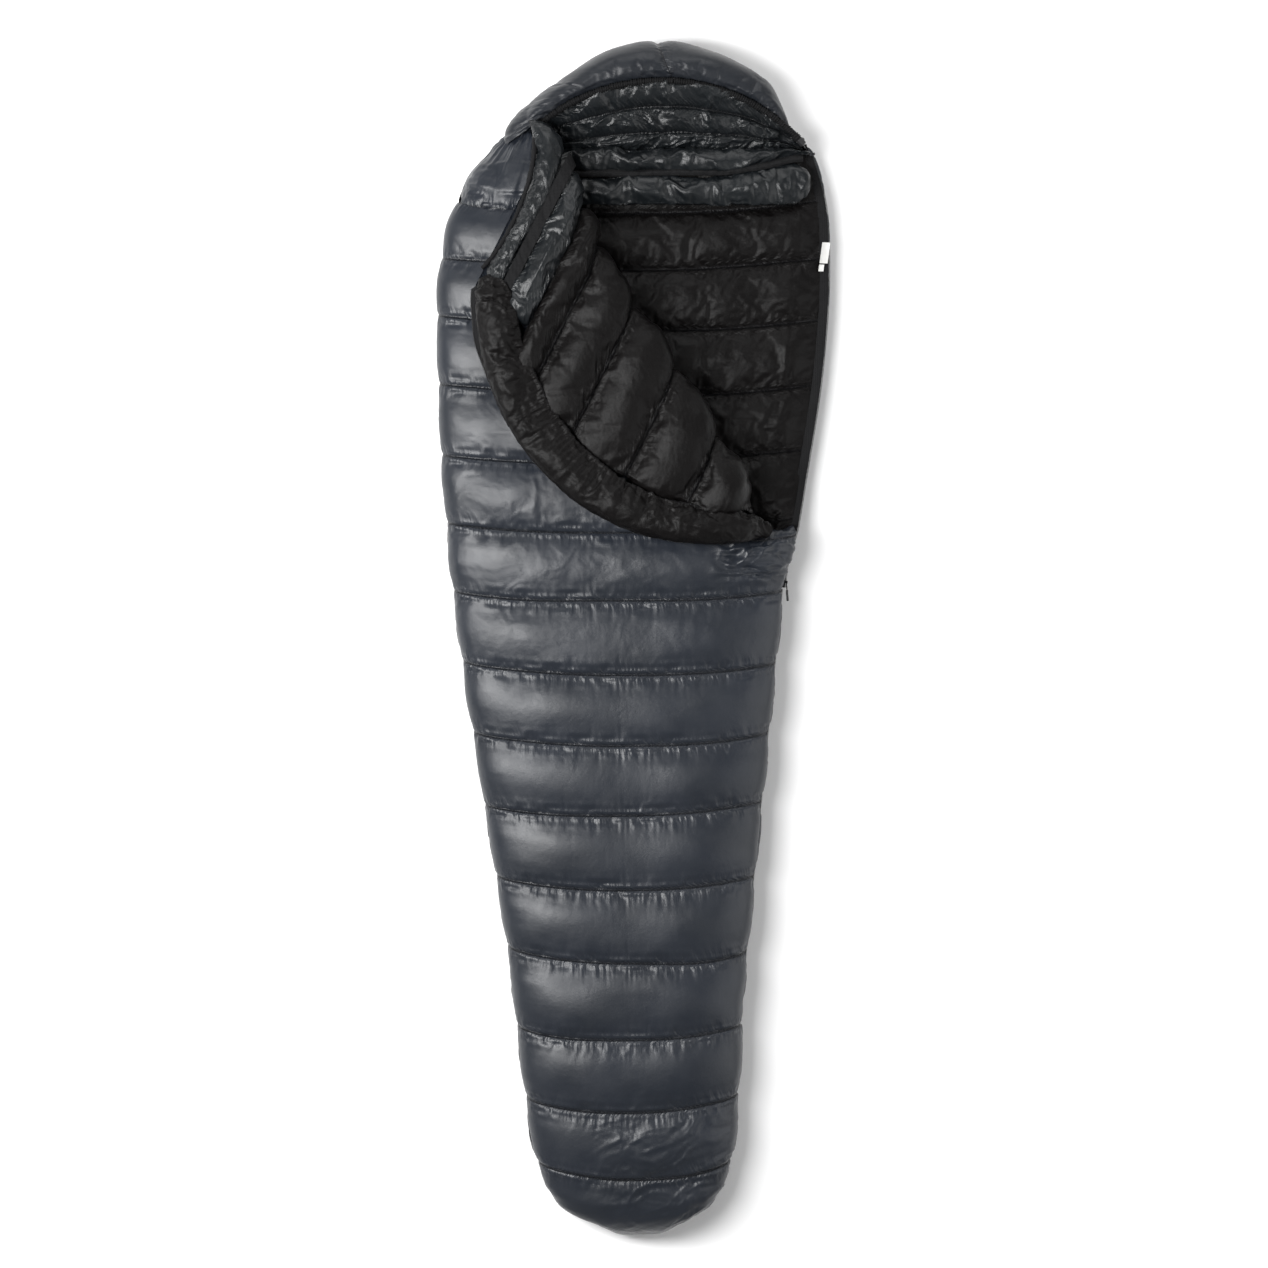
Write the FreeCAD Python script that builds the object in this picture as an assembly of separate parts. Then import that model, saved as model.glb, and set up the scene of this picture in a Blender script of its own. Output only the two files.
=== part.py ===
"""Down mummy sleeping bag, lying on its back with its side zip open and its front quilt folded back.

+Z is up, +Y runs towards the hood and +X towards the zip side. The origin is on the floor under the middle
of the bag. Millimetres throughout.

The bag is two quilts, back and front, joined round the left side and by the zip on the right. Each quilt is
an outer shell, a liner, and down held in crosswise chambers between mesh baffle walls. Above the zip slider
the front quilt is folded back over itself along a slanting line, and that folded part is the flap.
"""

import FreeCAD
import Part

import math
import os

V = FreeCAD.Vector

# ---- driving dimensions ------------------------------------------------------------------------------------

# Seams between the down chambers, from the foot to the neck.
SEAMS = [-944, -828, -699, -567, -438, -310, -185, -61, 64, 187, 309, 428, 543, 649, 752, 851]
# The bag's plan outline: distance along the bag, left edge, right edge.
OUTLINE = [
    (-1053, -70, 92),
    (-1035, -112, 122),
    (-1000, -146, 152),
    (-944, -173, 174),
    (-840, -191, 185),
    (-585, -223, 203),
    (-310, -266, 231),
    (6, -314, 262),
    (260, -338, 305),
    (470, -347, 337),
    (640, -343, 348),
    (767, -307, 341),
    (851, -243, 318),
]

MATE_Z = 66.0  # height of the side line where the back and front quilts meet
OPEN_EDGE_Z = 40.0  # height of the back quilt's zip edge where the bag is open
FRONT_RISE = 70.0  # top of the front quilt above the side line
CAVITY_HALF = 20.0  # half the air space between the quilts
SIDE_WALL = 26.0  # width of a quilt's edge on the side line
SEAM_DIP = 15.0  # how far a seam lies below the crown of its chambers
LINER_DIP = 7.0  # the same on the lining side
SIDE_DIP = 5.0  # the same at the bag's sides
SKIN = 1.2  # thickness of a fabric panel
FLOOR_DIP = 0.5  # the shell is drawn this far below the floor, then cut off flat on it
SKIN_GAP = 0.4  # clearance between a fabric panel and the down inside it
WALL = 1.0  # thickness of a baffle wall
FIT = 0.6  # clearance between solids that only touch

ZIP_FOOT_Y = -640.0  # the closed zip's lower end
SLIDER_Y = 92.0
ZIP_CHANNEL = 14.0  # how far the quilts' edges stand back behind the bulge of the chambers at the zip
ZIP_SLOPE = 0.0997  # sideways lean of the straight zip chain
ZIP_X_AT_SLIDER = 262.0
ZIP_INSET = 8.0  # from the zip chain out to the bag's side line
COIL_HALF_GAP = 0.8  # between the two rows of teeth, where the slider's wedge runs
COIL_HEIGHT = 2.6
COIL_WIDTH = 3.4
TAPE = 0.8  # thickness of the zip tape
SLIDER_LENGTH = 20.0
SLIDER_HEIGHT = 13.0
PLATE = 1.4  # thickness of the slider's two plates
PULL_LEAN = 10.0  # how far the pull hangs outwards, in degrees

FOLD_START = V(215, 150, 0)  # the fold line of the front quilt, at the slider end
FOLD_END = V(-215, 850, 0)  # and at the hood end
ALONG = (FOLD_END - FOLD_START).normalize()
ACROSS = V(-ALONG.y, ALONG.x, 0)  # away from the fold, over the folded part
FOLD_Z = 137.0  # height of the plane between the front quilt and the flap on it
FOLD_RADIUS = 49.0  # of the rounded fold itself
FLAP_RISE = 49.0  # thickness of the flap
# Width of the flap from the fold line to its free edge, at distances along the fold line.
FLAP_EDGE = [(12, 14), (98, 98), (157, 144), (229, 183), (354, 229), (427, 236), (535, 222), (600, 204)]
HEM_CORNERS = [(646, 183), (668, 163)]  # where the free edge turns into the top hem
HEM_S = 792.0  # where the top hem crosses the fold line
SEAM_SLOPE = -0.614  # how far the flap's seams lean along the fold line, for each step out from it
DRAFT_WIDTH = 62.0  # of the padded tube along the flap's free edge
COLLAR_FROM_S = 668.0  # where the boundary between the flap's lining and its collar crosses the fold line
COLLAR_MID_S = 722.0  # the same for the tape between the collar's two tubes
FRONT_SPLIT_Y = 64  # the seam below the slider: above it the front quilt is cut by the fold

HOOD_Y = 853.0  # the neck seam
HOOD_PAD = 44.0  # thickness of the hood's back
HOOD_OUTLINE = [
    (-238, 855), (-222, 893), (-176, 932), (-131, 974), (-61, 1016), (8, 1043), (46, 1050),
    (115, 1034), (186, 1004), (231, 977), (254, 938), (276, 890), (306, 855),
]
RIM_LEFT = V(-168, 892, 118)  # ends and crown of the face opening's edge
RIM_CROWN = V(45, 968, 128)
RIM_RIGHT = V(288, 872, 84)
BINDING_RADIUS = 5.5
CORD_RADIUS = 1.5
LOCK_GAP = 1.0  # from the end of the binding to the cord lock
LOCK_SIZE = (11.0, 15.0, 9.0)

COLLAR_TOP_Z = 74.0  # top of the padded tubes round the neck

NODES = {}


# ---- helpers -----------------------------------------------------------------------------------------------


def mix(a, b, share):
    return a + (b - a) * share


def ease(value, start, end):
    """From 0 at start to 1 at end, smoothly."""
    t = min(1.0, max(0.0, (value - start) / (end - start)))
    return t * t * (3 - 2 * t)


def along_table(table, at, column):
    """A smooth curve through one column of a table whose first column is the distance."""
    if at <= table[0][0]:
        return table[0][column]
    for i in range(len(table) - 1):
        if at <= table[i + 1][0]:
            break
    p0, p1 = table[max(i - 1, 0)], table[i]
    p2, p3 = table[i + 1], table[min(i + 2, len(table) - 1)]
    span = p2[0] - p1[0]
    t = min(1.0, (at - p1[0]) / span)
    slope1 = (p2[column] - p0[column]) / (p2[0] - p0[0])
    slope2 = (p3[column] - p1[column]) / (p3[0] - p1[0])
    a = p1[column] * (1 + 2 * t) * (1 - t) ** 2
    b = p2[column] * (3 - 2 * t) * t * t
    return a + b + span * t * (1 - t) * (slope1 * (1 - t) - slope2 * t)


def shifted(points, distance):
    """A line of (x, z) points moved sideways, to the right of its direction of travel."""
    moved = []
    for i, (x, z) in enumerate(points):
        before, after = points[max(i - 1, 0)], points[min(i + 1, len(points) - 1)]
        dx, dz = after[0] - before[0], after[1] - before[1]
        size = math.hypot(dx, dz)
        moved.append((x + dz / size * distance, z - dx / size * distance))
    return moved


def spacing(points):
    """Distances along a line of points, which every section of one loft shares as its spline parameters."""
    total, out = 0.0, [0.0]
    for (x0, z0), (x1, z1) in zip(points, points[1:]):
        total += math.hypot(x1 - x0, z1 - z0)
        out.append(total)
    return out


def loft(wires):
    solid = Part.makeLoft(wires, True, True)
    if solid.Volume < 0:
        solid.reverse()
    return solid


def polygon_prism(points, z_low, z_high):
    ring = [V(x, y, z_low) for x, y in points]
    return Part.Face(Part.makePolygon(ring + ring[:1])).extrude(V(0, 0, z_high - z_low))


def rounded_box(size, centre, radius):
    """A box with its long edges rounded, standing round centre."""
    sx, sy, sz = size
    box = Part.makeBox(sx, sy, sz, centre - V(sx / 2, sy / 2, sz / 2))
    return box.makeFillet(radius, box.Edges)


def keep(name, *solids):
    NODES.setdefault(name, []).extend(solids)


# ---- cross-sections of the two quilts ----------------------------------------------------------------------


def zip_x(y):
    """The zip chain's straight line, which above the slider runs over into the open quilt's edge."""
    straight = ZIP_X_AT_SLIDER - ZIP_SLOPE * (SLIDER_Y - y)
    return mix(straight, along_table(OUTLINE, y, 2) - ZIP_INSET, ease(y, SLIDER_Y + 10, SLIDER_Y + 100))


def channel(y):
    """How far the two quilts' edges stand back at the zip."""
    return ZIP_CHANNEL * ease(y, ZIP_FOOT_Y - 110, ZIP_FOOT_Y - 20)


def sides(y, lobe):
    """The left and right side lines, drawn in at the seams."""
    left = along_table(OUTLINE, y, 1)
    right = mix(along_table(OUTLINE, y, 2), zip_x(y) + ZIP_INSET, ease(y, ZIP_FOOT_Y - 60, ZIP_FOOT_Y))
    dip = SIDE_DIP * (1 - lobe)
    return left + dip, right - dip


def edge_height(y):
    """Height of the back quilt's zip edge, which lies lower where the bag is open."""
    return mix(MATE_Z, OPEN_EDGE_Z, ease(y, SLIDER_Y + 30, SLIDER_Y + 190))


def front_rise(y):
    """Top of the front quilt above the side line, less at the foot."""
    return mix(56.0, FRONT_RISE, ease(y, -1000, -700))


def front_outer(y, lobe):
    """The front quilt's outer line, (x, z) from left to right. lobe is 0 at a seam and 1 between seams."""
    left, right = sides(y, lobe)
    rise = front_rise(y) - SEAM_DIP * (1 - lobe)
    back = channel(y)
    return [
        (left, MATE_Z),
        (left, MATE_Z + 12),
        (left + 8, MATE_Z + 0.5 * rise),
        (left + 38, MATE_Z + 0.82 * rise),
        (mix(left, right, 0.3), MATE_Z + 0.97 * rise),
        (mix(left, right, 0.5), MATE_Z + rise),
        (mix(left, right, 0.7), MATE_Z + 0.97 * rise),
        (right - 40, MATE_Z + 0.82 * rise),
        (right - 8, MATE_Z + 0.52 * rise),
        (right - 0.25 * back, MATE_Z + 19),
        (right - back, MATE_Z + 10),
        (right - back, MATE_Z),
    ]


def back_outer(y, lobe):
    """The back quilt's outer line, round the left side, flat along the floor and up the right side."""
    left, right = sides(y, lobe)
    back = channel(y)
    edge = edge_height(y)
    low = edge - 22
    return [
        (left, MATE_Z),
        (left, MATE_Z - 14),
        (left + 3, MATE_Z - 30),
        (left + 10, MATE_Z - 44),
        (left + 22, 9),
        (left + 38, 2.4),
        (left + 58, -FLOOR_DIP),
        (mix(left, right, 0.5), -FLOOR_DIP),
        (right - 62, -FLOOR_DIP),
        (right - 24, 0.3 * low),
        (right - 7 - 0.3 * back, 0.75 * low),
        (right - 2 - 0.4 * back, low + 3),
        (right - back, edge - 10),
        (right - back, edge),
    ]


def inner_line(y, lobe, up):
    """The lining: above the cavity where up is 1, below it where up is -1."""
    left, right = sides(y, 1.0)
    half = CAVITY_HALF + LINER_DIP * (1 - lobe)
    start, end = left + SIDE_WALL, right - channel(y) - SIDE_WALL
    end_z = MATE_Z if up > 0 else edge_height(y)
    tilt = (end_z - MATE_Z) * 0.25
    return [
        (start, MATE_Z),
        (start, MATE_Z + 5 * up),
        (start + 34, MATE_Z + 0.78 * half * up),
        (mix(left, right, 0.5), MATE_Z + half * up),
        (end - 34, MATE_Z + tilt + 0.78 * half * up),
        (end, end_z + (5 if up > 0 else -3)),
        (end, end_z),
    ]


OUTER_SPACING = spacing(front_outer(0, 1.0))


def smooth_edge(points, span, place):
    """One spline edge through a line of (x, z) points."""
    line = Part.BSplineCurve()
    line.interpolate(Points=[place(x, z) for x, z in points], Parameters=span)
    return [line.toShape()]


def straight_edges(points, place):
    """Straight edges joining a line of (x, z) points."""
    ends = [place(x, z) for x, z in points]
    return [Part.LineSegment(a, b).toShape() for a, b in zip(ends, ends[1:])]


def section(y, lobe, up, layer):
    """One closed outline of a quilt's shell, down or liner at a station. up is 1 for the front quilt."""
    outer = front_outer(y, lobe) if up > 0 else back_outer(y, lobe)
    inner = inner_line(y, lobe, up)
    inset = SKIN + SKIN_GAP

    def place(x, z):
        # Each quilt stands half the clearance back from the side line; the floor side stays where it is.
        return V(x, y, z + 0.5 * FIT * up * min(1.0, max(0.0, z / 10)))

    def outer_edges(points):
        return smooth_edge(points, OUTER_SPACING, place) if up > 0 else straight_edges(points, place)

    if layer == "shell":
        one, two = outer, shifted(outer, SKIN * up)
        edges = outer_edges(one) + outer_edges(two)
    elif layer == "liner":
        one, two = inner, shifted(inner, -SKIN * up)
        edges = straight_edges(one, place) + straight_edges(two, place)
    else:
        one, two = shifted(outer, inset * up), shifted(inner, -inset * up)
        edges = outer_edges(one) + straight_edges(two, place)
    edges.append(Part.LineSegment(place(*one[0]), place(*two[0])).toShape())
    edges.append(Part.LineSegment(place(*one[-1]), place(*two[-1])).toShape())
    return Part.Wire(Part.__sortEdges__(edges))


LOBE_STEPS = [(0.0, 0.0), (0.14, 0.58), (0.5, 1.0), (0.86, 0.58), (1.0, 0.0)]


def chamber_stations(low, high, gap=0.0):
    """(distance, fullness) at the stations of one chamber, which is drawn in at both its seams."""
    return [(mix(low + gap, high - gap, share), lobe) for share, lobe in LOBE_STEPS]


def quilt_skin(up, layer, low, high):
    """A whole shell or liner panel between two distances along the bag."""
    stations = []
    for a, b in zip(SEAMS, SEAMS[1:]):
        if a >= low and b <= high:
            stations += chamber_stations(a, b)[0 if not stations else 1:]
    return loft([section(y, lobe, up, layer) for y, lobe in stations])


def quilt_chambers(up, low, high):
    """The down in each chamber, clear of the walls on both sides."""
    gap = WALL / 2 + 0.3
    return [
        loft([section(y, lobe, up, "down") for y, lobe in chamber_stations(a, b, gap)])
        for a, b in zip(SEAMS, SEAMS[1:])
        if a >= low and b <= high
    ]


def quilt_walls(up, low, high):
    """A mesh wall standing under each seam."""
    walls = []
    for y in SEAMS:
        if low < y < high:
            face = Part.Face(section(y, 0.0, up, "down"))
            face.translate(V(0, -WALL / 2, 0))
            walls.append(face.extrude(V(0, WALL, 0)))
    return walls


# ---- the fold line and the space beside it -----------------------------------------------------------------


def on_fold(s, t, z):
    """A point s along the fold line, t out over the flap, at height z."""
    p = FOLD_START + ALONG * s + ACROSS * t
    return V(p.x, p.y, z)


def fixed_side():
    """Everything on the side of the fold line where the front quilt still lies in place."""
    past_head, past_foot = on_fold(1300, 0, 0), on_fold(-735, 0, 0)
    corners = [
        (past_head.x, past_head.y), (past_foot.x, past_foot.y),
        (past_foot.x, -1300), (-900, -1300), (-900, past_head.y),
    ]
    return polygon_prism(corners, -50, 400)


def fold_roll(radius, start=-60.0, end=900.0):
    """The round space about the line that the flap turns on."""
    return Part.makeCylinder(radius, end - start, on_fold(start, 0, FOLD_Z), ALONG)


# ---- the parts ---------------------------------------------------------------------------------------------


def make_back_quilt():
    floor = Part.makeBox(1200, 2400, 400, V(-600, -1200, 0))
    keep("back_shell", quilt_skin(-1, "shell", SEAMS[0], SEAMS[-1]).common(floor))
    keep("back_liner", quilt_skin(-1, "liner", SEAMS[0], SEAMS[-1]))
    above_shell = Part.makeBox(1200, 2400, 400, V(-600, -1200, SKIN))
    keep("back_down", *[c.common(above_shell) for c in quilt_chambers(-1, SEAMS[0], SEAMS[-1])])
    keep("back_baffle_walls", *[w.common(above_shell) for w in quilt_walls(-1, SEAMS[0], SEAMS[-1])])


def make_front_quilt():
    side = fixed_side().cut(fold_roll(FOLD_RADIUS + 1.0))
    low, high = SEAMS[0], SEAMS[-1]
    keep("front_shell", quilt_skin(1, "shell", low, high).common(side))
    keep("front_liner", quilt_skin(1, "liner", low, high).common(side))
    keep("front_down", *quilt_chambers(1, low, FRONT_SPLIT_Y))
    keep("front_down", *[c.common(side) for c in quilt_chambers(1, FRONT_SPLIT_Y, high)])
    keep("front_baffle_walls", *[w.common(side) for w in quilt_walls(1, low, high)])


def foot_wire(y, left, right, low, high):
    """A rounded outline across the end of the foot."""
    mid_z, mid_x = (low + high) / 2, (left + right) / 2
    corner = 0.42 * (high - low)
    points = [
        V(left, y, mid_z), V(left + 0.3 * corner, y, high - 0.5 * corner), V(left + 1.2 * corner, y, high),
        V(mid_x, y, high + 2), V(right - 1.2 * corner, y, high), V(right - 0.3 * corner, y, high - 0.5 * corner),
        V(right, y, mid_z), V(right - 0.3 * corner, y, low + 0.5 * corner), V(right - 1.2 * corner, y, low),
        V(mid_x, y, low), V(left + 1.2 * corner, y, low), V(left + 0.3 * corner, y, low + 0.5 * corner),
    ]
    line = Part.BSplineCurve()
    line.interpolate(Points=points, PeriodicFlag=True, Parameters=[float(i) for i in range(13)])
    return Part.Wire([line.toShape()])


def foot_body(inset):
    """The closed foot end, drawn in by inset."""
    start = SEAMS[0] - FIT
    wires = []
    for y, low, high in [(start, 3, 106), (-975, 2, 116), (-1008, 5, 108), (-1035, 16, 92), (-1051, 30, 74)]:
        left, right = along_table(OUTLINE, y, 1) + inset, along_table(OUTLINE, y, 2) - inset
        end = y - inset if y == start else y + inset
        wires.append(foot_wire(end, left, right, low + inset, high - inset))
    return loft(wires)


def make_foot():
    outer, inner = foot_body(0.0), foot_body(SKIN)
    keep("foot_shell", outer.cut(inner).common(Part.makeBox(600, 400, 400, V(-300, -1300, 0))))
    keep("foot_down", foot_body(SKIN + SKIN_GAP).common(Part.makeBox(600, 400, 400, V(-300, -1300, SKIN))))


def bar(points, width, height):
    """A ruled strip of rectangular section through points, its width across the bag."""
    wires = []
    for p in points:
        ring = [
            V(p.x - width / 2, p.y, p.z - height / 2), V(p.x + width / 2, p.y, p.z - height / 2),
            V(p.x + width / 2, p.y, p.z + height / 2), V(p.x - width / 2, p.y, p.z + height / 2),
        ]
        wires.append(Part.makePolygon(ring + ring[:1]))
    return loft(wires)


def make_zip():
    straight = [ZIP_FOOT_Y, SLIDER_Y - 12]
    open_part = [SLIDER_Y + 13, 130, 190, 260, 340, 430, 520, 610, 700, 767, 810, 846]
    mid = COIL_HALF_GAP + COIL_HEIGHT / 2
    for name, up in (("zip_coil_back", -1), ("zip_coil_front", 1)):
        keep(name, bar([V(zip_x(y), y, MATE_Z + up * mid) for y in straight], COIL_WIDTH, COIL_HEIGHT))
    tape_mid = COIL_HALF_GAP + COIL_HEIGHT + 4.6
    for name, up in (("zip_tape_back", -1), ("zip_tape_front", 1)):
        keep(name, bar([V(zip_x(y), y, MATE_Z + up * tape_mid) for y in straight], TAPE, 8.6))
    tape_line = [V(zip_x(y) - 1.5, y, edge_height(y) + 1.6) for y in open_part]
    coil_line = [V(zip_x(y) + 5.6, y, edge_height(y) + 1.6) for y in open_part]
    keep("zip_tape_back_open", bar(tape_line, 9.0, TAPE))
    keep("zip_coil_back_open", bar(coil_line, COIL_WIDTH, COIL_HEIGHT))
    stop = rounded_box((6, 5, 8.4), V(zip_x(ZIP_FOOT_Y - 3.4), ZIP_FOOT_Y - 3.4, MATE_Z), 0.8)
    keep("zip_bottom_stop", stop)
    end = coil_line[-1]
    keep("zip_top_stop", rounded_box((6, 4.4, 4), end + V(0, 3, 0), 0.8))
    tube = Part.makeCylinder(
        6.5, 620, V(zip_x(ZIP_FOOT_Y) - 46, ZIP_FOOT_Y + 20, MATE_Z), V(ZIP_SLOPE, 1, 0)
    )
    keep("draft_tube_lower", tube)


def make_slider():
    """The zip slider round the two rows of teeth, with its pull hinged on the outer face."""
    half = SLIDER_LENGTH / 2
    reach = COIL_WIDTH / 2 + 0.5  # half the width inside the slider
    rail_z = COIL_HALF_GAP + COIL_HEIGHT + 0.5
    plate = Part.makeBox(PLATE, SLIDER_LENGTH, SLIDER_HEIGHT, V(-PLATE / 2, -half, -SLIDER_HEIGHT / 2))
    plate = plate.makeFillet(3.0, [e for e in plate.Edges if abs(e.tangentAt(e.FirstParameter).x) > 0.9])
    inner_plate, outer_plate = plate.copy(), plate.copy()
    inner_plate.translate(V(-reach - PLATE / 2, 0, 0))
    outer_plate.translate(V(reach + PLATE / 2, 0, 0))
    wedge_height = 2 * COIL_HALF_GAP - 0.6
    wedge = Part.makeBox(2 * reach + 0.4, 5, wedge_height, V(-reach - 0.2, half - 6, -wedge_height / 2))
    body = inner_plate.fuse(wedge).fuse(outer_plate)
    lip_width = reach - TAPE / 2 - 0.5 + 0.2
    for lip_x in (-reach - 0.2, TAPE / 2 + 0.5):
        for lip_z in (rail_z, -rail_z - 1.2):
            body = body.fuse(Part.makeBox(lip_width, SLIDER_LENGTH - 6, 1.2, V(lip_x, -half + 3, lip_z)))
    ear_x = reach + PLATE
    for ear_z in (-3.9, 2.5):
        body = body.fuse(Part.makeBox(5.2, 5, 1.4, V(ear_x - 0.2, -2.5, ear_z)))
    pin_x = ear_x + 3.0
    body = body.fuse(Part.makeCylinder(0.8, 7, V(pin_x, 0, -3.5)))
    eye = Part.makeCylinder(2.3, 4.0, V(pin_x, 0, -2.0))
    arm = Part.makeBox(1.8, 13, 4.0, V(pin_x - 0.9, -14.5, -2.0))
    grip = rounded_box((4.2, 20, 6.4), V(pin_x, -23.5, 0), 1.6)
    pull = eye.fuse(arm).fuse(grip).cut(Part.makeCylinder(1.15, 8, V(pin_x, 0, -4)))
    pull.rotate(V(pin_x, 0, 0), V(0, 0, 1), PULL_LEAN)
    for name, shape in (("slider_body", body), ("slider_pull", pull)):
        shape.rotate(V(0, 0, 0), V(0, 0, 1), -math.degrees(math.atan(ZIP_SLOPE)))
        shape.translate(V(zip_x(SLIDER_Y), SLIDER_Y, MATE_Z))
        keep(name, shape)


def tube_solid(start, end, half_width, base, top):
    """A padded tube along X from start to end, thinner at its ends."""
    wires = []
    for share, full in ((0.0, 0.4), (0.03, 0.75), (0.12, 1.0), (0.88, 1.0), (0.97, 0.75), (1.0, 0.4)):
        middle = mix(start, end, share)
        height = (top - base) * full
        ring = Part.Ellipse(V(0, 0, 0), half_width * full, height / 2).toShape()
        wire = Part.Wire([ring])
        wire.rotate(V(0, 0, 0), V(1, 0, 0), 90)
        wire.rotate(V(0, 0, 0), V(0, 0, 1), 90)
        wire.translate(V(middle.x, middle.y, base + (top - base) / 2))
        wires.append(wire)
    return loft(wires)


def make_collar():
    """The padded tubes round the neck, in two rows on the back quilt, with an elastic tape between them."""
    base = MATE_Z - CAVITY_HALF + 1.6
    for name, low, high in (("collar_lower", 762, 801), ("collar_upper", 813, 849)):
        middle = (low + high) / 2
        keep(name, tube_solid(V(-205, middle, 0), V(266, middle, 0), (high - low) / 2, base, COLLAR_TOP_Z))
    keep("collar_elastic", Part.makeBox(440, 10.6, 1.6, V(-190, 801.7, base + 8)))


def flap_outline(inset):
    """The flap's plan outline as (s, t) points, drawn in all round."""
    points = [(20 + 2 * inset, inset)]
    points += [(s, t - inset) for s, t in FLAP_EDGE[1:] + HEM_CORNERS[:1]]
    corner_s, corner_t = HEM_CORNERS[1]
    return points + [(corner_s - inset, corner_t - inset), (HEM_S - inset, inset)]


def free_edge(inset, z):
    """The curve of the flap's free edge, from the slider end of the fold to the corner of the hem."""
    edge = Part.BSplineCurve()
    edge.interpolate([on_fold(s, t, z) for s, t in flap_outline(inset)[:-2]])
    return edge


def flap_prism(inset, z_low, z_high):
    """The flap's plan outline, drawn in by inset, between two heights."""
    plan = [on_fold(s, t, z_low) for s, t in flap_outline(inset)]
    corners = plan[-3:] + plan[:1]
    edges = [free_edge(inset, z_low).toShape()]
    edges += [Part.LineSegment(a, b).toShape() for a, b in zip(corners, corners[1:])]
    return Part.Face(Part.Wire(Part.__sortEdges__(edges))).extrude(V(0, 0, z_high - z_low))


def slab(s_low, s_high):
    """The space between two slanting lines, along the flap's seams, that cross the fold at s_low and s_high."""
    near, far = -60, 420
    corners = [
        on_fold(s_low + SEAM_SLOPE * near, near, 0), on_fold(s_high + SEAM_SLOPE * near, near, 0),
        on_fold(s_high + SEAM_SLOPE * far, far, 0), on_fold(s_low + SEAM_SLOPE * far, far, 0),
    ]
    return polygon_prism([(p.x, p.y) for p in corners], 0, 400)


def draft_zone(width, gap=0.0):
    """The strip along the flap's free edge that the draft tube takes."""
    line = FLAP_EDGE + HEM_CORNERS[:1]
    past_hem = (700, 160)
    outer = [on_fold(s, t + 60, 0) for s, t in line + [past_hem]]
    inner = [on_fold(s, max(t - width - gap, -30), 0) for s, t in reversed(line + [past_hem])]
    return polygon_prism([(p.x, p.y) for p in outer + inner], 0, 400)


def flap_cuts():
    """Where the flap's chamber seams cross the fold line."""
    seams = [(y - FOLD_START.y) / ALONG.y for y in SEAMS if 180 < y < 700]
    return [20.0] + seams + [COLLAR_FROM_S]


def make_flap():
    """The folded-back part of the front quilt, lining side up, with its draft tube and collar."""
    low, high = FOLD_Z + 1, FOLD_Z + FLAP_RISE
    inside = SKIN + SKIN_GAP
    roll = fold_roll(FOLD_RADIUS + 0.6)
    quilt = slab(-300, COLLAR_FROM_S - 1)
    draft = draft_zone(DRAFT_WIDTH)
    not_draft = draft_zone(DRAFT_WIDTH, 1.0)
    keep("flap_shell", flap_prism(0.0, low, low + SKIN).cut(roll))
    keep("flap_liner", flap_prism(2.0, high - SKIN, high).cut(roll).common(quilt).cut(not_draft))
    down = flap_prism(2.0, low + inside, high - inside).cut(roll).common(quilt).cut(not_draft)
    cuts = flap_cuts()
    for a, b in zip(cuts, cuts[1:]):
        keep("flap_down", down.common(slab(a + 0.8, b - 0.8)))
    for s in cuts[1:-1]:
        keep("flap_baffle_walls", down.common(slab(s - WALL / 2, s + WALL / 2)))
    tube = flap_prism(1.0, low + inside, high).cut(roll).common(draft)
    keep("flap_draft_tube", tube.common(slab(-300, COLLAR_FROM_S - 1)))
    neck = flap_prism(1.5, low + inside, high).cut(roll)
    keep("flap_collar_lower", neck.common(slab(COLLAR_FROM_S + 1, COLLAR_MID_S)))
    keep("flap_collar_upper", neck.common(slab(COLLAR_MID_S + 9, 900)))
    tape = flap_prism(3.0, high - 20, high - 18).cut(roll)
    keep("flap_collar_elastic", tape.common(slab(COLLAR_MID_S + 0.5, COLLAR_MID_S + 8.5)))


def make_fold():
    """The rounded turn where the front quilt doubles back, which the flap rolls about."""
    cuts = flap_cuts()
    for a, b in zip(cuts, cuts[1:]):
        keep("fold_down", fold_roll(FOLD_RADIUS - SKIN - SKIN_GAP, a + 1.0, b - 1.0))
    skin = fold_roll(FOLD_RADIUS, cuts[0], cuts[-1])
    keep("fold_liner", skin.cut(fold_roll(FOLD_RADIUS - SKIN, cuts[0] - 1, cuts[-1] + 1)))


def make_flap_edge():
    """The zip tape and teeth on the flap's free edge, and the binding on its hem."""
    low = FOLD_Z + 1
    curve = free_edge(0.0, 0.0)
    first = curve.parameter(on_fold(*FLAP_EDGE[1], 0))
    places = [mix(first, curve.LastParameter, i / 16) for i in range(17)]
    strips = {"flap_zip_tape": (1.2, 9.0, low + 7, TAPE), "flap_zip_coil": (9.4, 12.6, low + 6.2, COIL_HEIGHT)}
    for name, (near, far, z, thick) in strips.items():
        wires = []
        for place in places:
            point, tangent = curve.value(place), curve.tangent(place)[0]
            out = V(-tangent.y, tangent.x, 0)
            ring = [point + out * reach + V(0, 0, height)
                    for reach, height in ((near, z), (far, z), (far, z + thick), (near, z + thick))]
            wires.append(Part.makePolygon(ring + ring[:1]))
        keep(name, loft(wires))
    start, end = on_fold(675.8, 161, low + 14), on_fold(764, 46.7, low + 14)
    direction = (end - start).normalize()
    keep("flap_hem_binding", Part.makeCylinder(5.0, (end - start).Length, start, direction))


def rim_arc():
    """The edge of the face opening."""
    return Part.Arc(RIM_LEFT, RIM_CROWN, RIM_RIGHT)


def hood_outline():
    curve = Part.BSplineCurve()
    curve.interpolate([V(x, y, 0) for x, y in HOOD_OUTLINE])
    return curve.toShape()


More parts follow.
